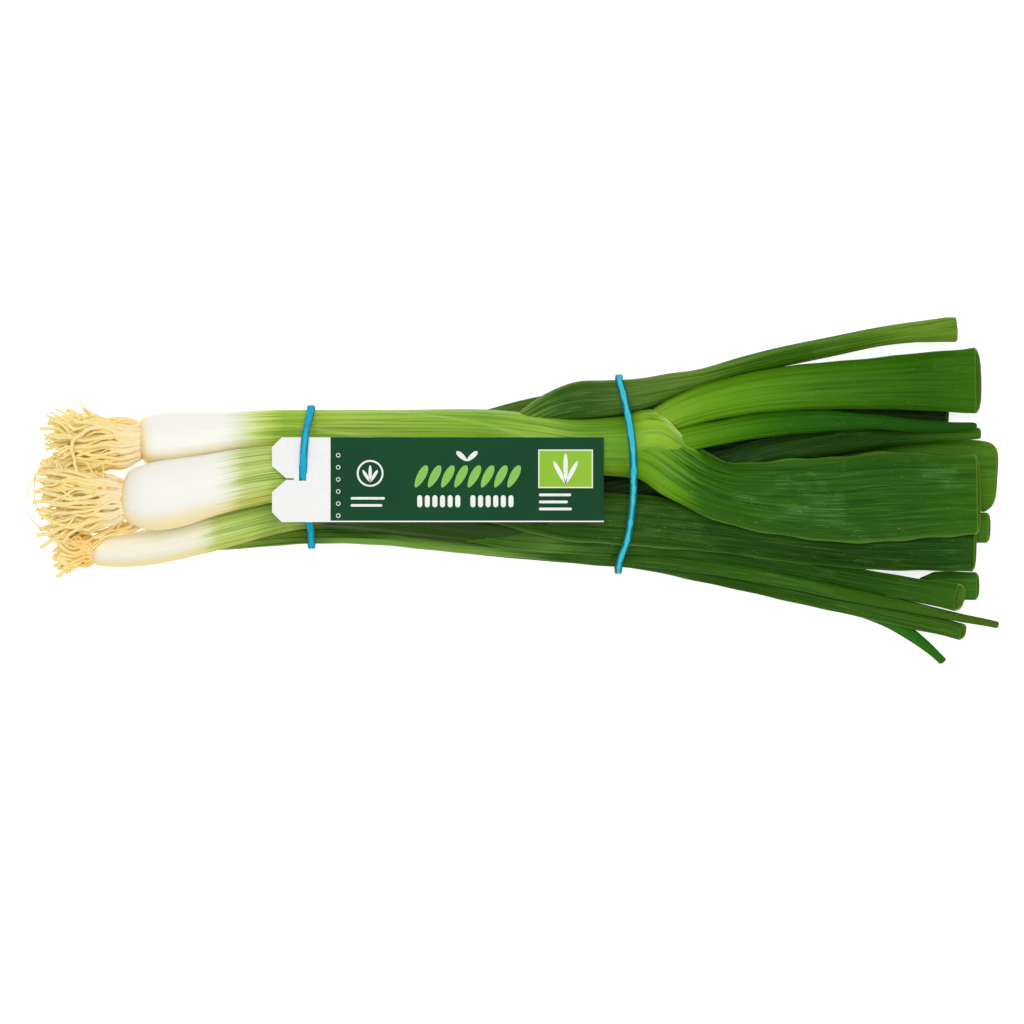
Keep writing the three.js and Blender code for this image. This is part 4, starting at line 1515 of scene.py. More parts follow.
@dataclass(frozen=True)
class ElasticBand:
    """An elastic band round the stems.

    Attributes:
        name: the solid's name.
        span: the stretch of X whose stems it goes round.
        base: where it stands along X.
        swing: how far it swings along X over the top of the bunch.
        swing_span: how far to each side of swing_middle the swing reaches.
        over: points (y, z) by which it passes through and over the tag.
        finish: its finish.
        swing_middle: the Y where the swing is largest.
        width: how wide the band is, along the stems.
        thickness: how thick it is.
        blend: over what height the swing comes in.
        stand_off: how far its middle line lies off the stems.
        release_height: above this it runs by the points of over.
        steps: how many points its line has.
    """

    name: str
    span: Span
    base: float
    swing: float
    swing_span: float
    finish: BandFinish
    over: tuple[Span, ...] = ()
    swing_middle: float = 4.0
    width: float = 2.2
    thickness: float = 1.0
    blend: float = 4.0
    stand_off: float = 1.0
    release_height: float = 14.0
    steps: int = 208

    def _touched(self, stems: Sequence[Sequence[Station]]) -> np.ndarray:
        """Points (y, z) round every stem within the band's stretch of X, a little way off it.

        Args:
            stems: the routes of the stems.

        Returns:
            The points.
        """
        angle = np.arange(16) / 16 * 2 * np.pi
        found = []
        for rows in stems:
            route = Route(rows)
            grid_t, grid_a = np.meshgrid(route.stops(2.0), angle, indexing="ij")
            rings = route.surface(grid_t, grid_a, np.full(grid_t.shape, self.stand_off))
            middle = rings[..., 0].mean(1)
            near = (middle > self.span[0]) & (middle < self.span[1])
            found.append(rings[near][..., 1:].reshape(-1, 2))
        return np.vstack(found)

    @staticmethod
    def _hull(points: np.ndarray) -> list[np.ndarray]:
        """The outline of the hull round a set of points.

        Args:
            points: the points.

        Returns:
            The corners of the outline, in order.
        """

        def chain(rows: np.ndarray) -> list[np.ndarray]:
            """One side of the hull, along points in order.

            Args:
                rows: the points, in order.

            Returns:
                The corners, without the last.
            """
            kept: list[np.ndarray] = []
            for p in rows:
                while len(kept) > 1:
                    a, b = kept[-1] - kept[-2], p - kept[-2]
                    if a[0] * b[1] - a[1] * b[0] > 0:
                        break
                    kept.pop()
                kept.append(p)
            return kept[:-1]

        ordered = points[np.lexsort((points[:, 1], points[:, 0]))]
        return chain(ordered) + chain(ordered[::-1])

    def loop(self, stems: Sequence[Sequence[Station]]) -> np.ndarray:
        """The band's middle line, in even steps.

        Args:
            stems: the routes of the stems it goes round.

        Returns:
            Its points.
        """
        outline = self._hull(self._touched(stems))
        if self.over:
            outline = [p for p in outline if p[1] < self.release_height or p[0] < self.over[0][0]]
            outline += [np.array(p) for p in self.over]
        flat = np.array(outline)
        centre = (flat.min(0) + flat.max(0)) / 2
        flat = flat[np.argsort(np.arctan2(flat[:, 1] - centre[1], flat[:, 0] - centre[0]))]
        ring = np.vstack([flat, flat[:1]])
        gone = np.concatenate([[0], np.cumsum(np.linalg.norm(np.diff(ring, axis=0), axis=1))])
        knots = np.linspace(0, gone[-1], 53)[:-1]
        coarse = np.stack([np.interp(knots, gone, ring[:, k]) for k in (0, 1)], -1)
        fine = self._rounded(coarse)
        rise = np.maximum(0, 1 - ((fine[:, 0] - self.swing_middle) / self.swing_span) ** 2)
        upper = smooth(fine[:, 1], centre[1] - self.blend, centre[1] + self.blend)
        return np.column_stack([self.base + self.swing * rise * upper, fine])

    def _rounded(self, coarse: np.ndarray) -> np.ndarray:
        """A closed smooth line through the coarse points.

        Args:
            coarse: the coarse points.

        Returns:
            The line's points.
        """
        count = len(coarse)
        padded = np.vstack([coarse[-1:], coarse, coarse[:2]])
        spot = np.arange(self.steps) / self.steps * count
        index = spot.astype(int)
        w = (spot - index)[:, None]
        return between([padded[index + k] for k in range(4)], w)[0]

    def build(self, tree: BandTree, stems: Sequence[Sequence[Station]]) -> bpy.types.Object:
        """Lays the band and dresses it.

        Args:
            tree: the tree that thickens the line.
            stems: the routes of the stems it goes round.

        Returns:
            The piece.
        """
        loop = self.loop(stems)
        lines = line_object(self.name + "_line", [(loop, np.full(len(loop), 1000.0))], closed=True)
        material = self.finish.material()
        values = {tree.WIDTH: self.width * MM, tree.THICKNESS: self.thickness * MM}
        values |= {tree.FINISH: material}
        mesh = tree.grow(self.name, lines, values)
        return add_piece(self.name, mesh, material, self.name)


# The tag's print


class Drawing:
    """Flat marks of ink, gathered into one thin mesh on the card."""

    BLADE_SIDES = 24

    def __init__(self, floor: float, height: float = 0.03) -> None:
        """Starts an empty sheet whose marks stand from floor to floor + height, in millimetres.

        Args:
            floor: the marks' lower side.
            height: how thick they are.
        """
        self.floor = floor
        self.height = height
        self.points: list[Point] = []
        self.faces: list[tuple[int, ...]] = []

    def slab(self, outline: Sequence[Span]) -> None:
        """Adds a filled mark with that outline, which runs anticlockwise.

        Args:
            outline: its corners.
        """
        start, count = len(self.points), len(outline)
        for z in (self.floor, self.floor + self.height):
            self.points += [(x, y, z) for x, y in outline]
        self.faces.append(tuple(start + count + i for i in range(count)))
        self.faces.append(tuple(start + count - 1 - i for i in range(count)))
        for i in range(count):
            j = (i + 1) % count
            self.faces.append((start + i, start + j, start + count + j, start + count + i))

    def ring(self, x: float, y: float, radius: float, line: float, sides: int = 32) -> None:
        """Adds a ring with its middle at x, y.

        Args:
            x: X of its middle.
            y: Y of its middle.
            radius: its radius.
            line: how wide its line is.
            sides: how many corners it has.
        """
        start = len(self.points)
        for z in (self.floor, self.floor + self.height):
            for r in (radius + line / 2, radius - line / 2):
                for i in range(sides):
                    turn = i / sides * 2 * math.pi
                    self.points.append((x + r * math.cos(turn), y + r * math.sin(turn), z))
        low_out, low_in, top_out, top_in = (start + k * sides for k in range(4))
        for i in range(sides):
            j = (i + 1) % sides
            self.faces.append((top_out + i, top_out + j, top_in + j, top_in + i))
            self.faces.append((low_out + j, low_out + i, low_in + i, low_in + j))
            self.faces.append((low_out + i, low_out + j, top_out + j, top_out + i))
            self.faces.append((low_in + j, low_in + i, top_in + i, top_in + j))

    def blade(self, x: float, y: float, length: float, width: float, turn: float) -> None:
        """Adds a pointed leaf shape that grows from x, y at an angle in degrees.

        Args:
            x: X of its foot.
            y: Y of its foot.
            length: its length.
            width: its width.
            turn: its angle from +X.
        """
        lean = math.radians(turn)
        outline = []
        for i in range(self.BLADE_SIDES):
            part = i / self.BLADE_SIDES * 2 * math.pi
            along = length * (1 - math.cos(part)) / 2
            off = -width / 2 * math.sin(part) * (0.55 + 0.45 * math.sin(part / 2))
            on_x = x + along * math.cos(lean) - off * math.sin(lean)
            on_y = y + along * math.sin(lean) + off * math.cos(lean)
            outline.append((on_x, on_y))
        self.slab(outline)

    def bar(self, left: float, right: float, low: float, high: float, sides: int = 6) -> None:
        """Adds a bar with round ends.

        Args:
            left: its left side.
            right: its right side.
            low: its low side.
            high: its high side.
            sides: how many points each rounded corner has.
        """
        radius = min(high - low, right - left) / 2
        outline = []
        for cx, cy, start in ((right, high, 0), (left, high, 90), (left, low, 180), (right, low, 270)):
            for i in range(sides):
                turn = math.radians(start + 90 * i / (sides - 1))
                middle_x = cx - radius if cx == right else cx + radius
                middle_y = cy - radius if cy == high else cy + radius
                outline.append((middle_x + radius * math.cos(turn), middle_y + radius * math.sin(turn)))
        self.slab(outline)

    def mesh(self, name: str) -> bpy.types.Mesh:
        """Builds the mesh of all the marks.

        Args:
            name: the mesh's name.

        Returns:
            The mesh.
        """
        mesh = bpy.data.meshes.new(name)
        mesh.from_pydata((np.array(self.points) * MM).tolist(), [], self.faces)
        return mesh


@dataclass(frozen=True)
class Tag:
    """The card tag, with a plain print of its own in green, light green and white.

    Attributes:
        top: height of the card's upper face.
        rings_x: where the column of small rings stands.
        rings_y: the first and last of them.
        ring_count: how many there are.
        emblem: the middle of the round mark.
        leaf_row: left, right and middle height of the row of leaning leaves.
        bar_row: left, right, low and high side of the row of bars.
        panel: the same of the light panel.
        white_until: the X at which the green field begins.
        low_edge: the Y at which it begins.
        slot_lip: left, right, low and high side of the flap of card beside the band in the slot.
    """

    top: float = 26.2
    rings_x: float = -51.7
    rings_y: Span = (-7.4, 10.6)
    ring_count: int = 6
    emblem: Span = (-42.2, 5.2)
    leaf_row: Point = (-27.2, 0.4, 4.2)
    bar_row: Box = (-28.2, 1.2, -4.9, -1.3)
    panel: Box = (7.8, 24.1, 0.8, 12.3)
    white_until: float = -54.0
    low_edge: float = -8.9
    slot_lip: Box = (-64.95, -63.35, 3.0, 7.65)

    def white_marks(self) -> Drawing:
        """The white ink: rings, the round mark, a row of bars and the small lines.

        Returns:
            The sheet of marks.
        """
        sheet = Drawing(self.top)
        for y in np.linspace(*self.rings_y, self.ring_count):
            sheet.ring(self.rings_x, float(y), 0.55, 0.22, 16)
        x, y = self.emblem
        sheet.ring(x, y, 3.7, 0.55, 48)
        for turn in (58, 90, 122):
            sheet.blade(x, y - 2.6, 5.0 if turn == 90 else 4.2, 1.1, turn)
        for turn in (42, 138):
            sheet.blade(-13.4, 8.9, 4.2, 1.7, turn)
        left, right, low, high = self.bar_row
        pitch = (right - left) / 13
        for i in range(13):
            if i != 6:
                sheet.bar(left + i * pitch, left + (i + 0.66) * pitch, low, high)
        for y, length in ((-2.6, 10.2), (-4.7, 9.4)):
            sheet.bar(-48.0, -48.0 + length, y, y + 0.75)
        for y, length in ((-1.6, 9.6), (-3.7, 8.6), (-5.8, 9.8)):
            sheet.bar(8.0, 8.0 + length, y, y + 0.8)
        left, right, low, high = self.panel
        for turn, length in ((62, 7.6), (90, 9.0), (118, 7.6)):
            sheet.blade((left + right) / 2, low + 1.3, length, 1.5, turn)
        return sheet

    def green_marks(self) -> Drawing:
        """The light green ink: a row of leaning leaves.

        Returns:
            The sheet of marks.
        """
        sheet = Drawing(self.top)
        left, right, middle = self.leaf_row
        pitch = (right - left) / 7
        for i in range(8):
            sheet.blade(left + i * pitch - 1.6, middle - 3.2, 7.4, 2.9, 62)
        return sheet

    def build(self) -> None:
        """Prints the card and dresses its solid."""
        finish = CardFinish(
            "tag_card",
            self.white_until,
            panel=self.panel,
            border=0.4,
            top=self.top - 0.1,
            low_edge=self.low_edge,
        )
        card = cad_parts["tag"]
        card.data.materials.clear()
        card.data.materials.append(finish.material())
        log.info("tag: keeps its solid")
        lip = Drawing(self.top - 0.4, 0.38)
        left, right, low, high = self.slot_lip
        lip.slab([(left, low), (right, low), (right, high), (left, high)])
        add_piece("tag_slot_lip", lip.mesh("tag_slot_lip"), card.data.materials[0], None)
        for name, marks, ink in (
            ("tag_print_white", self.white_marks(), InkFinish("ink_white", (244, 246, 240))),
            ("tag_print_green", self.green_marks(), InkFinish("ink_light_green", (142, 199, 92))),
        ):
            add_piece(name, marks.mesh(name), ink.material(), None)


# The bunch


UPPER_SHANK = (
    (-112, 15, 8.4, 4.8, 4.8, 0), (-110.6, 15.1, 8.3, 6.8, 6.8, 0),
    (-107.5, 15.4, 8.1, 7.8, 7.8, 0), (-102.5, 15.9, 7.9, 8.2, 8.2, 0), (-95, 16.6, 7.8, 7.5, 7.5, 0),
    (-86, 17.3, 7.7, 6.6, 6.6, 0), (-76, 17.9, 7.9, 6.2, 6.2, 0), (-61.5, 18.2, 8.2, 6.2, 6.2, 0),
    (-34, 17.8, 10.2, 6.7, 6.7, 0), (-10, 17.3, 13, 7.2, 7.2, 0), (6, 15.6, 14.8, 7.5, 7.3, 0),
    (19, 13.5, 16.4, 7.9, 7.5, 0), (33.4, 13.2, 17.3, 9, 7.4, 0), (36.2, 13.2, 17.45, 9.2, 7.4, 0),
    (38.4, 13.2, 17.5, 8.2, 6.4, 0),
)
MIDDLE_SHANK = (
    (-116.7, -2.2, 14, 5, 5, 0), (-115.2, -2.3, 14.1, 7.2, 7.2, 0),
    (-111.8, -2, 14.3, 9.2, 9.2, 0), (-106.5, -1.6, 14.9, 10.2, 10.2, 0),
    (-100, -0.5, 15.2, 10.1, 10.1, 0), (-91, 1.6, 14.6, 9.2, 9.2, 0),
    (-80, 3.9, 14.6, 8.7, 8.7, 0), (-70, 5.4, 15.4, 8.2, 8.2, 0), (-58, 6.1, 16, 7.7, 7.7, 0),
    (-40, 4.6, 15.8, 7.5, 7.5, 0), (-18, 1.8, 14.8, 7.6, 7.4, 0), (0, -1.6, 13.6, 8.2, 6.8, 0),
    (12, -3.6, 12.6, 8.8, 5.8, 0),
)
LOWER_SHANK = (
    (-126.6, -18.1, 4.9, 3, 3, 0), (-125.2, -18.2, 4.9, 4.1, 4.1, 0),
    (-120.6, -18.2, 4.8, 4.7, 4.7, 0), (-113, -17.5, 5, 5.2, 5.2, 0),
    (-104, -15.8, 5.2, 5.5, 5.5, 0), (-93, -13, 5.5, 5.6, 5.6, 0),
    (-82, -10.2, 6.2, 5.5, 5.5, 0), (-71, -7.5, 7.1, 5.4, 5.4, 0), (-60, -6, 7.5, 5.4, 5.4, 0),
    (-40, -7.2, 7.4, 5.5, 5.4, 0), (-18, -9.6, 7.1, 5.5, 5, 0), (2, -12, 6.9, 4.9, 4.2, 0),
    (14, -13.4, 7.2, 3.4, 2.6, 0), (26, -14.4, 7.4, 1.2, 0.8, 0),
)
UPPER_MOUTH = (
    (35.5, 13.25, 17.4, 9.3, 7.45, 0), (38, 13.9, 17.6, 9.4, 7.35, 0),
    (40.4, 14.6, 17.8, 9.5, 7.1, 0), (44.5, 14.4, 17.9, 9.4, 6.7, 0), (50, 12, 17.3, 6, 4.8, 0),
    (56, 9.6, 16.7, 3.6, 3.2, 0), (60, 8, 16.3, 2.4, 2.2, 0),
)

WHITE = (250, 249, 239)
CREAM = (248, 242, 222)
PALE = (232, 237, 204)
YOUNG = (206, 218, 138)
STEM = (134, 174, 44)

SHANKS = (
    Shank(
        "shank_upper",
        UPPER_SHANK,
        finish=ShankFinish(
            "sheaths_upper",
            (
                (-112, CREAM), (-107, WHITE), (-86, WHITE), (-81, PALE), (-78, (222, 232, 156)),
                (-74, (206, 222, 106)), (-69, (162, 198, 54)), (-50, (172, 202, 82)),
                (-28, (152, 192, 62)), (-8, (132, 178, 42)), (10, (160, 198, 74)), (22, (120, 172, 38)),
                (34, (100, 152, 16)),
            ),
            green_from=-82, green_full=-72,
        ),
        laps=((-80, 60, -30, 118), (-40, 20, 14, 96)),
    ),
    Shank(
        "shank_middle",
        MIDDLE_SHANK,
        finish=ShankFinish(
            "sheaths_middle",
            # From X = -26 on, the colours darken to nearly black: painted shade under the tag and the
            # leaves.
            (
                (-116, CREAM), (-111, WHITE), (-88, WHITE), (-84, PALE), (-81, YOUNG),
                (-74, (194, 212, 116)), (-66, (150, 184, 60)), (-26, STEM), (-12, (44, 84, 10)),
                (6, (22, 50, 4)), (12, (14, 36, 2)),
            ),
            green_from=-85, green_full=-78,
        ),
        laps=((-92, 200, -40, 140),),
    ),
    Shank(
        "shank_lower",
        LOWER_SHANK,
        finish=ShankFinish(
            "sheaths_lower",
            (
                (-126, CREAM), (-120, (246, 243, 226)), (-97, (244, 243, 224)), (-92.5, PALE),
                (-90, YOUNG), (-79, (182, 208, 104)), (-72, (146, 178, 74)), (-66, (160, 190, 92)),
                (-61, (112, 150, 60)), (-57, (40, 82, 6)), (-30, (40, 78, 8)), (20, (40, 78, 8)),
            ),
            green_from=-94, green_full=-86,
        ),
        laps=((-96, 150, -50, 100),),
    ),
)

MOUTH = SheathMouth(
    "sheath_mouth",
    UPPER_MOUTH,
    rim_start=(42.9, 25.2), rim_end=(55.5, 11.7),
    finish=ShankFinish(
        "sheath_mouth_green",
        (
            (34, (100, 152, 16)), (40, (146, 192, 46)), (47, (146, 190, 50)), (53, (104, 158, 34)),
            (60, (56, 110, 18)),
        ),
        # Painted shade: its -Y side is tinted a darker grey-green.
        green_from=20, green_full=34, lines=0.5, shade_strength=1, ragged=2.2, shade_tint=(108, 150, 100),
        shade_range=(0.15, -0.7),
    ),
)


def greens(*stops: tuple[float, Colour]) -> Stops:
    """Leaf colours along X, each less what the sky adds to a satin leaf."""
    return tuple((x, (max(r - 9, 2), max(g - 6, 2), max(b - 15, 2))) for x, (r, g, b) in stops)


LEAVES = (
    Leaf(
        "leaf_upper_outer",
        (
            (35.6, 13.2, 17.4, 9, 7.2, 0), (37.2, 13.1, 17.5, 9.25, 7.4, 0),
            (40.6, 12.4, 17.7, 8.9, 7.1, 0), (45, 9.9, 17.7, 8.8, 6.4, 0),
            (50, 6.4, 17.4, 8.8, 5.5, 0), (56, 2.8, 16.8, 8.6, 4.5, 0),
            (64, -0.2, 15.9, 9, 3.7, 0), (73, -1.6, 14.9, 10.3, 3.4, 0),
            (84, -2.4, 13.8, 11.7, 3.2, 0), (96, -2.6, 12.9, 12.8, 3.1, 0),
            (108, -1.9, 12.1, 13.6, 3, 0), (118, -1.5, 11.5, 13.4, 3, 0),
            (128, -1.3, 11, 12.4, 3, 0), (141.2, -1.1, 10.4, 12, 3, 0),
        ),
        finish=LeafFinish(
            "leaf_broad",
            greens(
                (34, (109, 158, 31)), (42, (124, 172, 44)), (49, (104, 154, 36)), (56, (58, 108, 24)),
                (66, (52, 98, 22)), (84, (50, 98, 26)), (120, (46, 94, 22)), (136, (56, 106, 24)),
            ),
            stripe=0.5, bloom=0.7, edge_highlight=0.7, veins=7,
        ),
        slant=1.8, frill=0.45, crease=110, crease_depth=0.2,
    ),
    Leaf(
        "leaf_upper_inner",
        (
            (38, 16, 18, 4, 4, 0), (46, 21.6, 18, 4.5, 4.2, 0),
            (54, 25, 17.8, 5.2, 4.4, 0), (64, 27.8, 17, 5.8, 4.5, 0),
            (76, 29.9, 15.8, 6.4, 4.6, 0), (92, 31.3, 14, 7.1, 4.7, 0),
            (108, 32.2, 12.4, 7.8, 4.7, 0), (124, 32.9, 11, 8.9, 4.6, 0),
            (141.6, 33.2, 9.9, 10, 4.4, 0),
        ),
        finish=LeafFinish(
            "leaf_thick_tube",
            greens(
                (44, (140, 182, 60)), (56, (114, 164, 34)), (72, (100, 152, 34)), (92, (76, 128, 26)),
                (110, (60, 114, 18)), (124, (54, 104, 18)), (142, (66, 118, 24)),
            ),
            stripe=0.35, bloom=0.15, edge_highlight=0.2,
        ),
        slant=3,
    ),
    Leaf(
        "leaf_upper_side",
        (
            (2, 19.6, 14.4, 3.4, 3.4, 0), (11.5, 24.4, 15.2, 5, 4.2, 8),
            (19, 26.4, 16, 6, 4.2, 12), (28, 27.2, 16.6, 6, 3.9, 15),
            (36, 28.2, 16.9, 5.4, 3.4, 22), (46, 30.7, 17, 4.8, 2.7, 38),
            (57, 33.6, 16.8, 4.5, 2.2, 58), (68, 37.2, 16.2, 4.3, 2.3, 66),
            (80, 40, 15.2, 4.1, 2.5, 58), (95, 43.1, 13.6, 3.7, 2.5, 52),
            (110, 46.2, 12, 3.4, 2.4, 50), (122, 47.7, 10.9, 3.5, 2.5, 40),
            (134.2, 48.6, 10, 3.8, 2.9, 20),
        ),
        finish=LeafFinish(
            "leaf_dull",
            greens(
                (2, (110, 148, 56)), (12, (60, 98, 30)), (22, (64, 98, 38)), (34, (94, 124, 60)),
                (52, (106, 140, 58)), (66, (80, 120, 34)), (84, (60, 104, 20)), (104, (90, 128, 36)),
                (122, (122, 156, 58)), (134, (116, 154, 48)),
            ),
            stripe=0.8, bloom=0.7, edge_highlight=0.4, veins=8,
        ),
        slant=1, frill=0.25, crease=150,
    ),
    Leaf(
        "leaf_upper_slim",
        (
            (44, 14, 18.2, 3.2, 3, 0), (52, 15.4, 18.6, 3.7, 3.2, 0),
            (63, 17.7, 17.8, 3.6, 3, 0), (75, 19.7, 16.4, 3.7, 2.9, 0),
            (92, 21, 14.4, 3.3, 2.6, 0), (108, 20.7, 12.8, 2.3, 2.2, 0),
            (124, 19.3, 11.4, 1.8, 1.8, 0), (139.5, 19.4, 10, 1.1, 1.1, 0),
        ),
        finish=LeafFinish(
            "leaf_slim_tube",
            greens(
                (46, (120, 166, 40)), (56, (92, 144, 18)), (68, (74, 128, 16)), (82, (50, 106, 14)),
                (100, (38, 94, 12)), (122, (36, 88, 20)), (140, (46, 90, 28)),
            ),
            stripe=0.25, bloom=0.2, edge_highlight=0.15,
        ),
        bore=3, wall=0.5,
    ),
    Leaf(
        "leaf_middle_outer",
        (
            (-10, -4.4, 12, 4.4, 3.4, 0), (0, -5, 13.2, 6.2, 3.6, 0),
            (9, -6.2, 13.8, 7, 3.3, 0), (18, -7.6, 14, 7.3, 3.2, 0),
            (28, -8.2, 14, 7.6, 3.2, 0), (40, -9, 13.4, 7.7, 3.1, 0),
            (54, -10.4, 11.8, 7.4, 3, 0), (68, -12, 10.2, 7.3, 3, 0),
            (84, -14, 8.8, 7.5, 2.9, 0), (104, -15.8, 7.6, 7.5, 2.8, 0),
            (122, -16.6, 7.2, 7.4, 2.7, 0), (140, -17, 7, 7.3, 2.7, 0),
        ),
        finish=LeafFinish(
            "leaf_shaded",
            greens(
                (8, (50, 86, 24)), (36, (52, 90, 28)), (60, (36, 76, 16)), (80, (38, 76, 18)),
                (100, (30, 68, 12)), (118, (28, 70, 10)), (128, (30, 74, 12)), (140, (44, 88, 18)),
            ),
            stripe=0.6, bloom=0.5, edge_highlight=0.7, veins=8,
        ),
        slant=1, frill=0.25,
    ),
    Leaf(
        "leaf_lower_outer",
        (
            (-92, -16.6, 4.8, 1.4, 1.6, 0), (-82, -15.2, 4.4, 2.2, 2.2, 0),
            (-70, -13.6, 4.6, 2.7, 2.4, 0), (-58, -13, 5, 2.8, 2.4, 0),
            (-40, -13.4, 5.6, 2.8, 2.4, 0), (-20, -15.2, 6, 3.2, 2.4, 0),
            (0, -16.6, 6.4, 3.4, 2.2, 0), (20, -18.4, 6.6, 3.5, 2.1, 0),
            (38, -20.2, 6.6, 3.2, 2, 0), (56, -24.3, 6, 2.7, 1.9, 0),
            (80, -30.1, 4.8, 2.4, 1.8, 0), (98.4, -34.1, 3.8, 2.5, 1.7, 0),
            (119.4, -38.7, 3.1, 2.6, 1.7, 0), (137.2, -42.4, 2.5, 2.6, 1.7, 0),
        ),
        finish=LeafFinish(
            "leaf_along_edge",
            greens(
                (-92, (176, 200, 110)), (-74, (120, 150, 62)), (-54, (58, 98, 24)),
                (-34, (66, 106, 32)), (-8, (46, 84, 22)), (24, (58, 100, 30)), (60, (44, 82, 20)),
                (90, (54, 94, 20)), (120, (64, 106, 32)), (138, (74, 112, 32)),
            ),
            stripe=0.7, bloom=0.5, edge_highlight=0.5, veins=6, pale_side=(-64, 16),
        ),
        slant=2, frill=0.15,
    ),
    Leaf(
        "leaf_lower_top",
        (
            (-24, -12.2, 8, 0.8, 0.6, 0), (-12, -12.9, 8.6, 2.4, 1.7, 0),
            (2, -14, 8.9, 3.7, 2.2, 0), (16, -14.6, 9.2, 4.2, 2.2, 0),
            (34, -15.6, 9, 4.3, 2.3, 0), (52, -17.8, 8.2, 3.8, 2.2, 0),
            (70, -20.6, 7.4, 3.2, 2.1, 0), (85, -23.1, 6.8, 3.4, 2.1, 0),
            (98.4, -25.5, 6.4, 3.3, 2, 0), (112, -27.9, 6.3, 3.2, 2.1, 0),
            (125.4, -30.4, 6.3, 3.6, 2.2, 0), (136.6, -32, 6.3, 4.1, 2.3, 0),
        ),
        finish=LeafFinish(
            "leaf_lower_tube",
            greens(
                (-2, (78, 116, 40)), (12, (98, 136, 66)), (20, (70, 110, 40)), (34, (50, 92, 26)),
                (60, (40, 80, 18)), (100, (34, 74, 14)), (120, (48, 92, 14)), (137, (68, 112, 30)),
            ),
            stripe=0.6, bloom=0.5, edge_highlight=0.4, veins=6,
        ),
        slant=3.5,
    ),
    Leaf(
        "leaf_lower_slim",
        (
            (30, -20.2, 9, 1.5, 1.4, 0), (46, -21.4, 9.2, 2, 1.7, 0),
            (64, -23.6, 8.6, 2.2, 1.7, 0), (82, -26.9, 7.5, 2.2, 1.6, 0),
            (100, -30.7, 6.3, 2.1, 1.5, 0), (119.4, -34.7, 5.2, 1.7, 1.2, 0),
            (132, -37.5, 4.3, 1.35, 1, 0), (146.7, -40.3, 3.2, 1, 0.8, 0),
        ),
        finish=LeafFinish(
            "leaf_lower_slim_green",
            greens(
                (30, (54, 94, 22)), (70, (58, 100, 24)), (110, (60, 102, 20)), (136, (78, 114, 36)),
                (147, (84, 120, 40)),
            ),
            stripe=0.5, bloom=0.6, edge_highlight=0.3, veins=5,
        ),
        bore=3, wall=0.4, frill=0.06,
    ),
    Leaf(
        "leaf_middle_slim",
        (
            (8, -2, 11, 3.2, 2, 0), (24, -0.8, 9, 4, 2.4, 0),
            (42, 1.8, 9.3, 4.2, 2.5, 0), (60, 6.4, 10.4, 4.3, 2.6, 0),
            (80, 11.8, 10.2, 4.7, 2.6, 0), (102, 15.6, 9, 4.2, 2.2, 0),
            (122, 16.7, 7.8, 2.4, 1.8, 0), (141, 17.4, 6.8, 1.8, 1.4, 0),
        ),
        finish=LeafFinish(
            "leaf_middle_slim_green",
            # Nearly black green up to X = 50 and dark beyond: painted shade where it leaves the stem and
            # runs under the upper leaves.
            greens(
                (8, (22, 46, 16)), (50, (24, 54, 18)), (70, (32, 68, 24)), (90, (28, 64, 18)),
                (116, (30, 70, 18)), (141, (74, 120, 34)),
            ),
            stripe=0.4, bloom=0.4, edge_highlight=0.3, veins=6,
        ),
        bore=4, wall=0.5,
    ),
    Leaf(
        "leaf_middle_wide",
        (
            (8.5, 0.4, 11, 3, 1.8, 0), (17, 3.6, 7.4, 5.4, 2.4, 0), (26, 6.8, 5.4, 6.8, 2.8, 0),
            (38, 7.2, 4.8, 7.6, 2.9, 0), (56, 8, 4.6, 8.6, 2.9, 0), (78, 8.4, 4.2, 9.8, 2.9, 0),
            (100, 7.4, 3.6, 10.4, 2.9, 0), (124, 5.8, 2.9, 10.6, 2.8, 0),
            (146.7, 4.4, 2.5, 10.6, 2.8, 0),
        ),
        finish=LeafFinish(
            "leaf_wide_light",
            # Nearly black green up to X = 50: painted shade in the hollow under the tag and the broad
            # leaf, where it leaves the stem.
            greens(
                (8, (22, 46, 16)), (50, (24, 54, 16)), (66, (34, 74, 20)), (96, (54, 98, 26)),
                (126, (78, 122, 32)), (147, (84, 130, 36)),
            ),
            stripe=0.5, bloom=0.3, edge_highlight=0.3, veins=7,
        ),
        slant=1, rounding=3.2,
    ),
    Leaf(
        "leaf_upper_low",
        (
            (-14, 19.6, 6.2, 3.2, 2.4, 0), (0, 22, 6.8, 4.4, 2.8, 0),
            (14, 24.2, 6.8, 5.2, 3, 0), (34, 24.4, 6.2, 5.9, 3.1, 0),
            (56, 25.4, 5.6, 6.2, 3.1, 0), (80, 25.2, 4.6, 6, 3, 0),
            (106, 23.4, 3.4, 5.4, 2.8, 0), (132, 21.6, 2.3, 4.8, 2.6, 0),
        ),
        finish=LeafFinish(
            "leaf_under_upper",
            greens((-14, (96, 128, 50)), (20, (70, 104, 40)), (60, (26, 60, 20)), (132, (24, 60, 16))),
            stripe=0.5, bloom=0.4, edge_highlight=0.3, veins=7,
        ),
        slant=1,
    ),
    Leaf(
        "leaf_middle_low",
        (
            (9, -6, 10.4, 3.2, 1.8, 0), (18, -6.8, 7.6, 4.8, 2.2, 0),
            (28, -6.4, 5.8, 6.4, 2.4, 0), (46, -6.6, 4.8, 6.8, 2.4, 0),
            (68, -8.8, 3.8, 5.2, 2.3, 0), (94, -10.2, 2.8, 4.8, 2.3, 0),
            (120, -10.8, 2.2, 4.6, 2.3, 0), (144.6, -11, 2, 4.5, 2.3, 0),
        ),
        finish=LeafFinish(
            "leaf_middle_low_green",
            # Nearly black green up to X = 50: painted shade under the tag and the leaves above it.
            greens((9, (22, 44, 16)), (50, (26, 54, 18)), (80, (40, 78, 26)), (145, (84, 130, 44))),
            stripe=0.5, bloom=0.3, edge_highlight=0.3, veins=6,
        ),
        slant=1,
    ),
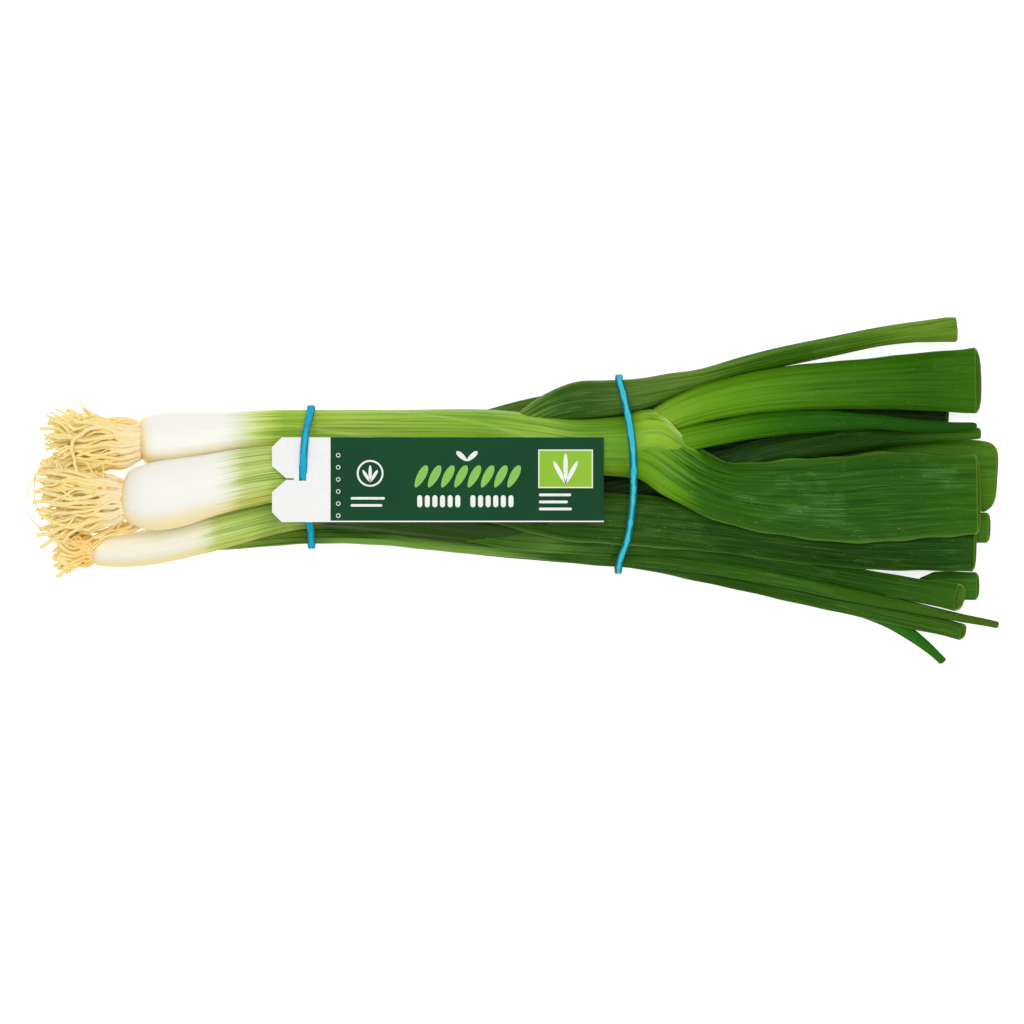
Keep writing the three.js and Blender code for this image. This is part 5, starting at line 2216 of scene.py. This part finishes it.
    Leaf(
        "leaf_lower_broad",
        (
            (0, -10.6, 4, 2.6, 1.8, 0), (18, -13, 3.8, 3.6, 2, 0),
            (38, -15.6, 3.6, 3.8, 2, 0), (60, -18.6, 3.2, 3.8, 2, 0),
            (84, -22.4, 2.6, 3.2, 1.9, 0), (106, -27, 2, 2.7, 1.8, 0),
            (119, -29.4, 1.9, 3, 1.8, 0), (124.6, -29.4, 1.9, 3.3, 1.8, 0),
            (127.4, -28.6, 1.9, 4.3, 1.9, 0), (141.2, -28.5, 1.9, 4.2, 2, 0),
        ),
        finish=LeafFinish(
            "leaf_lower_broad_green",
            greens((0, (44, 80, 26)), (80, (44, 84, 26)), (141, (64, 114, 34))),
            stripe=0.5, bloom=0.3, edge_highlight=0.3, veins=6,
        ),
        slant=1,
    ),
    Leaf(
        "leaf_lower_side",
        (
            (-34, -12.8, 3.2, 1.8, 1.4, 0), (-16, -15.6, 3.2, 2.8, 1.6, 0),
            (2, -17.3, 3.3, 3.1, 1.6, 0), (20, -18.8, 3.4, 3.1, 1.6, 0),
            (38, -20.4, 3.4, 3, 1.6, 0), (58, -24.8, 2.9, 2.7, 1.6, 0),
            (80, -29.8, 2.2, 2.4, 1.5, 0), (98, -33.6, 1.6, 2.2, 1.4, 0),
            (111, -37.8, 1.3, 2.2, 1.2, 0), (119.4, -42.6, 1.3, 1.9, 1.2, 0),
            (126.9, -48.2, 1.3, 1.4, 1.2, 0), (130.6, -51.3, 1.3, 1.1, 1.1, 0),
        ),
        finish=LeafFinish(
            "leaf_bent_away",
            greens((-34, (70, 110, 40)), (60, (50, 94, 30)), (131, (46, 118, 34))),
            stripe=0.5, bloom=0.3, edge_highlight=0.3, veins=5,
        ),
        bore=2.5, wall=0.4, frill=0.06,
    ),
)

TUFTS = (
    RootTuft(
        "roots_lower",
        (-127, -18, 4.9),
        plate_radius=3.6, reach=12.5, fan=0.12, spread=(0.42, 0.12), droop=1, count=16, seed=37,
        strays=(
            (
                1.15,
                (
                    (-126.8, -19.4, 4.6), (-129.6, -21.6, 4.2), (-132, -23.2, 3.4),
                    (-134.4, -24.6, 2.4),
                ),
            ),
            (
                0.8,
                (
                    (-127.4, -17, 6.6), (-130.6, -19, 6.8), (-133.4, -22, 6), (-134.6, -23.6, 5),
                ),
            ),
        ),
        more=64, fine=14,
    ),
    RootTuft(
        "roots_upper",
        (-112.4, 14.8, 8.4),
        plate_radius=6.2, reach=31, fan=0, spread=(0.17, 0.06), droop=1.5, count=30, seed=11,
        strays=(
            (
                0.62,
                ((-113, 18.6, 10.4), (-124, 20, 9.8), (-132, 21.6, 8.2), (-137.4, 24.4, 6.4)),
            ),
            (
                0.62,
                ((-113, 17, 11), (-126, 18.6, 10.8), (-134, 20, 9.2), (-139, 23.6, 7.4)),
            ),
            (
                0.6,
                (
                    (-113, 18, 12), (-120, 19.4, 12.6), (-126.4, 20.6, 11.6), (-129.6, 22.8, 10.4),
                ),
            ),
            (
                0.8,
                (
                    (-120, 19.2, 13), (-126, 18.8, 15), (-130.6, 15.4, 16), (-131.2, 10, 16.6),
                    (-130.2, 6, 16.4), (-128, 4.4, 15.6),
                ),
            ),
            (0.8, ((-112.8, 10.2, 8), (-117.5, 8, 7.4), (-123, 6.8, 6.8), (-131, 4.6, 5.6))),
            (0.8, ((-112.8, 9.6, 6.6), (-116.5, 7.4, 6.4), (-121.6, 6.4, 6), (-128.6, 3.4, 5))),
            (0.7, ((-112.8, 10.8, 9.6), (-118, 8.8, 9), (-125, 7.2, 8), (-134, 6.6, 6.8))),
            (0.75, ((-113, 9.8, 7.2), (-119, 7.2, 7.8), (-125, 7.8, 8.6), (-131.4, 4.8, 8.4))),
        ),
        more=120, fine=26,
    ),
    RootTuft(
        "roots_middle",
        (-117.1, -2.6, 14),
        plate_radius=6.2, reach=27, fan=-0.03, spread=(0.24, 0.1), droop=6, count=34, seed=23,
        strays=(
            (0.36, ((-118, 0.8, 14.4), (-134, 5.4, 12.6), (-142.4, 5.4, 9.4), (-146.6, -2.6, 6))),
            (
                0.36,
                ((-118, -6.4, 13), (-136, -12.4, 9.4), (-142.4, -10.6, 7.2), (-146, -6.8, 6)),
            ),
            (
                0.3,
                (
                    (-130, 4, 12), (-139, 7.4, 11), (-143.4, 4, 9), (-143, -4, 7), (-140.6, -8, 6),
                ),
            ),
            (0.5, ((-134, 1, 12.6), (-137.4, 3.6, 13.2), (-139.4, 6.6, 13.4))),
            (0.5, ((-131, 2, 13.8), (-134.2, 4.6, 14.4), (-136.4, 9, 14.2))),
            (0.5, ((-122, -0.5, 16.4), (-125.4, 3.4, 16.8), (-127.8, 9, 16.4))),
            (0.46, ((-121, 0.2, 17), (-122.6, 4.2, 17), (-122, 9, 16.4))),
            (
                0.7,
                (
                    (-117.4, -8.2, 11), (-121, -11.6, 9), (-127, -14.6, 8), (-134, -17, 6.6),
                ),
            ),
            (
                0.7,
                ((-117.2, -8.8, 9.6), (-119.6, -12.4, 8.4), (-124.6, -15.6, 8.4), (-131.4, -19.4, 7.8)),
            ),
            (
                0.62,
                (
                    (-117.2, -7.4, 12.6), (-121.4, -10, 11.4), (-128, -12.6, 9.4), (-136.4, -14.6, 7),
                ),
            ),
            (
                0.6,
                ((-117, -9.2, 8.6), (-118, -11.8, 7.6), (-121.4, -14.4, 8.6), (-127, -18, 9.6)),
            ),
            (
                0.8,
                ((-113, -9.2, 8.8), (-115.8, -11, 9.2), (-120.4, -12.6, 9.4), (-126, -14.4, 8.6)),
            ),
            (
                0.8,
                (
                    (-111.5, -10.2, 7.8), (-114.2, -11.8, 8.4), (-118, -13, 9.6), (-124, -15.6, 9.8),
                ),
            ),
            (
                0.7,
                ((-113.8, -8.6, 8), (-116.8, -10.2, 7.6), (-121, -11.4, 7.4), (-128.6, -13.2, 6.8)),
            ),
            (
                0.7,
                ((-112.8, -9.6, 7), (-116, -11.6, 7.4), (-121.4, -12.2, 8.4), (-128, -15.8, 9)),
            ),
        ),
        more=180, fine=40,
    ),
)

BANDS = (
    ElasticBand(
        "band_root_end",
        (-65, -58),
        base=-60.4, swing=-1.7, swing_span=20,
        finish=BandFinish("band_blue", (6, 174, 208), edge=(4, 128, 160), light=(84, 204, 236)),
        over=(
            (0.4, 23.6), (2.8, 24.2), (4.5, 25.3), (5.8, 26.4), (8, 27.2), (12, 27.3), (17, 27.1),
        ),
    ),
    ElasticBand(
        "band_leaf_end",
        (29, 39),
        base=32, swing=4.3, swing_span=29,
        finish=BandFinish("band_blue_green", (52, 190, 208), edge=(8, 104, 118), light=(128, 226, 230)),
    ),
)


@dataclass(frozen=True)
class Bunch:
    """The whole bunch, built piece by piece."""

    shanks: tuple[Shank, ...] = SHANKS
    mouth: SheathMouth = MOUTH
    leaves: tuple[Leaf, ...] = LEAVES
    tufts: tuple[RootTuft, ...] = TUFTS
    bands: tuple[ElasticBand, ...] = BANDS
    tag: Tag = Tag()

    def stems(self) -> list[tuple[Station, ...]]:
        """The routes of everything that the bands go round."""
        return [stem.stations for stem in (*self.shanks, self.mouth, *self.leaves)]

    def build(self) -> None:
        """Builds every piece."""
        for shank in self.shanks:
            shank.build()
        self.mouth.build()
        for leaf in self.leaves:
            leaf.build()
        straw = RootFinish().material()
        root_tree = RootTree()
        for tuft in self.tufts:
            tuft.build(root_tree, straw)
        band_tree = BandTree()
        stems = self.stems()
        for band in self.bands:
            band.build(band_tree, stems)
        self.tag.build()


# Studio


@dataclass(frozen=True)
class Studio:
    """A pale floor, soft light from above and a camera that looks straight down.

    Attributes:
        width: how much of the floor the picture spans, in millimetres.
        middle: what it is centred on, as X and Y.
        level: height at which the width is measured.
        lens: focal length of the camera.
        sensor: width of its sensor.
        sky: how bright the light from all round is.
        glow: how much the floor shines of itself.
        floor_half: half the floor's side, in metres.
        lamps: name, place, turn, size and power of each lamp.
    """

    width: float = 307.2
    middle: Span = (0.0, -6.3)
    level: float = 12.0
    lens: float = 200.0
    sensor: float = 36.0
    sky: float = 0.42
    glow: float = 0.72
    floor_half: float = 1.5
    lamps: tuple[tuple[str, Point, Point, float, float], ...] = (
        ("lamp_over", (-0.1, 0.35, 1.3), (-14, -4, 0), 0.9, 8.4),
        ("lamp_front", (0.15, -0.7, 1.1), (32, 6, 0), 0.8, 3.6),
    )

    def camera(self) -> None:
        """Places the camera."""
        data = bpy.data.cameras.new("camera_above")
        data.lens = self.lens
        data.sensor_width = self.sensor
        data.clip_end = 10
        camera = bpy.data.objects.new("camera_above", data)
        distance = self.width * self.lens / self.sensor
        camera.location = (self.middle[0] * MM, self.middle[1] * MM, (self.level + distance) * MM)
        bpy.context.scene.collection.objects.link(camera)
        bpy.context.scene.camera = camera

    def floor(self) -> None:
        """Lays the floor."""
        mesh = bpy.data.meshes.new("floor")
        half = self.floor_half
        corners = [(-half, -half, 0), (half, -half, 0), (half, half, 0), (-half, half, 0)]
        mesh.from_pydata(corners, [], [(0, 1, 2, 3)])
        bench = Bench("floor_paper")
        cloud = bench.noise(bench.where(), 3.0)
        bench.paint(bench.blend(cloud, linear((222, 222, 222)), linear((216, 216, 216))))
        bench.surface(0.9, 0.1)
        bench.shader.inputs["Emission Color"].default_value = (1.0, 1.0, 1.0, 1.0)
        bench.shader.inputs["Emission Strength"].default_value = self.glow
        mesh.materials.append(bench.material)
        floor = bpy.data.objects.new("floor", mesh)
        bpy.context.scene.collection.objects.link(floor)

    def lamp(self, name: str, spot: Point, turn: Point, size: float, power: float) -> None:
        """Hangs one soft square lamp.

        Args:
            name: its name.
            spot: its place, in metres.
            turn: its angles about X, Y and Z, in degrees.
            size: its side, in metres.
            power: its power, in watts.
        """
        data = bpy.data.lights.new(name, "AREA")
        data.size = size
        data.energy = power
        lamp = bpy.data.objects.new(name, data)
        lamp.location = spot
        lamp.rotation_euler = [math.radians(v) for v in turn]
        bpy.context.scene.collection.objects.link(lamp)

    def world(self) -> None:
        """Lights everything softly from all round."""
        world = bpy.data.worlds.new("soft_room")
        world.use_nodes = True
        back = world.node_tree.nodes["Background"]
        back.inputs["Color"].default_value = (1.0, 1.0, 1.0, 1.0)
        back.inputs["Strength"].default_value = self.sky
        bpy.context.scene.world = world

    def build(self) -> None:
        """Sets up the whole studio."""
        self.world()
        self.floor()
        for lamp in self.lamps:
            self.lamp(*lamp)
        self.camera()
        bpy.context.scene.view_settings.view_transform = "Standard"
        log.info("studio: camera, floor and lamps")


def main() -> None:
    """Builds the bunch and the studio."""
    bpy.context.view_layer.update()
    Bunch().build()
    Studio().build()
    log.info("sizes noted")


if __name__ == "__main__":
    main()
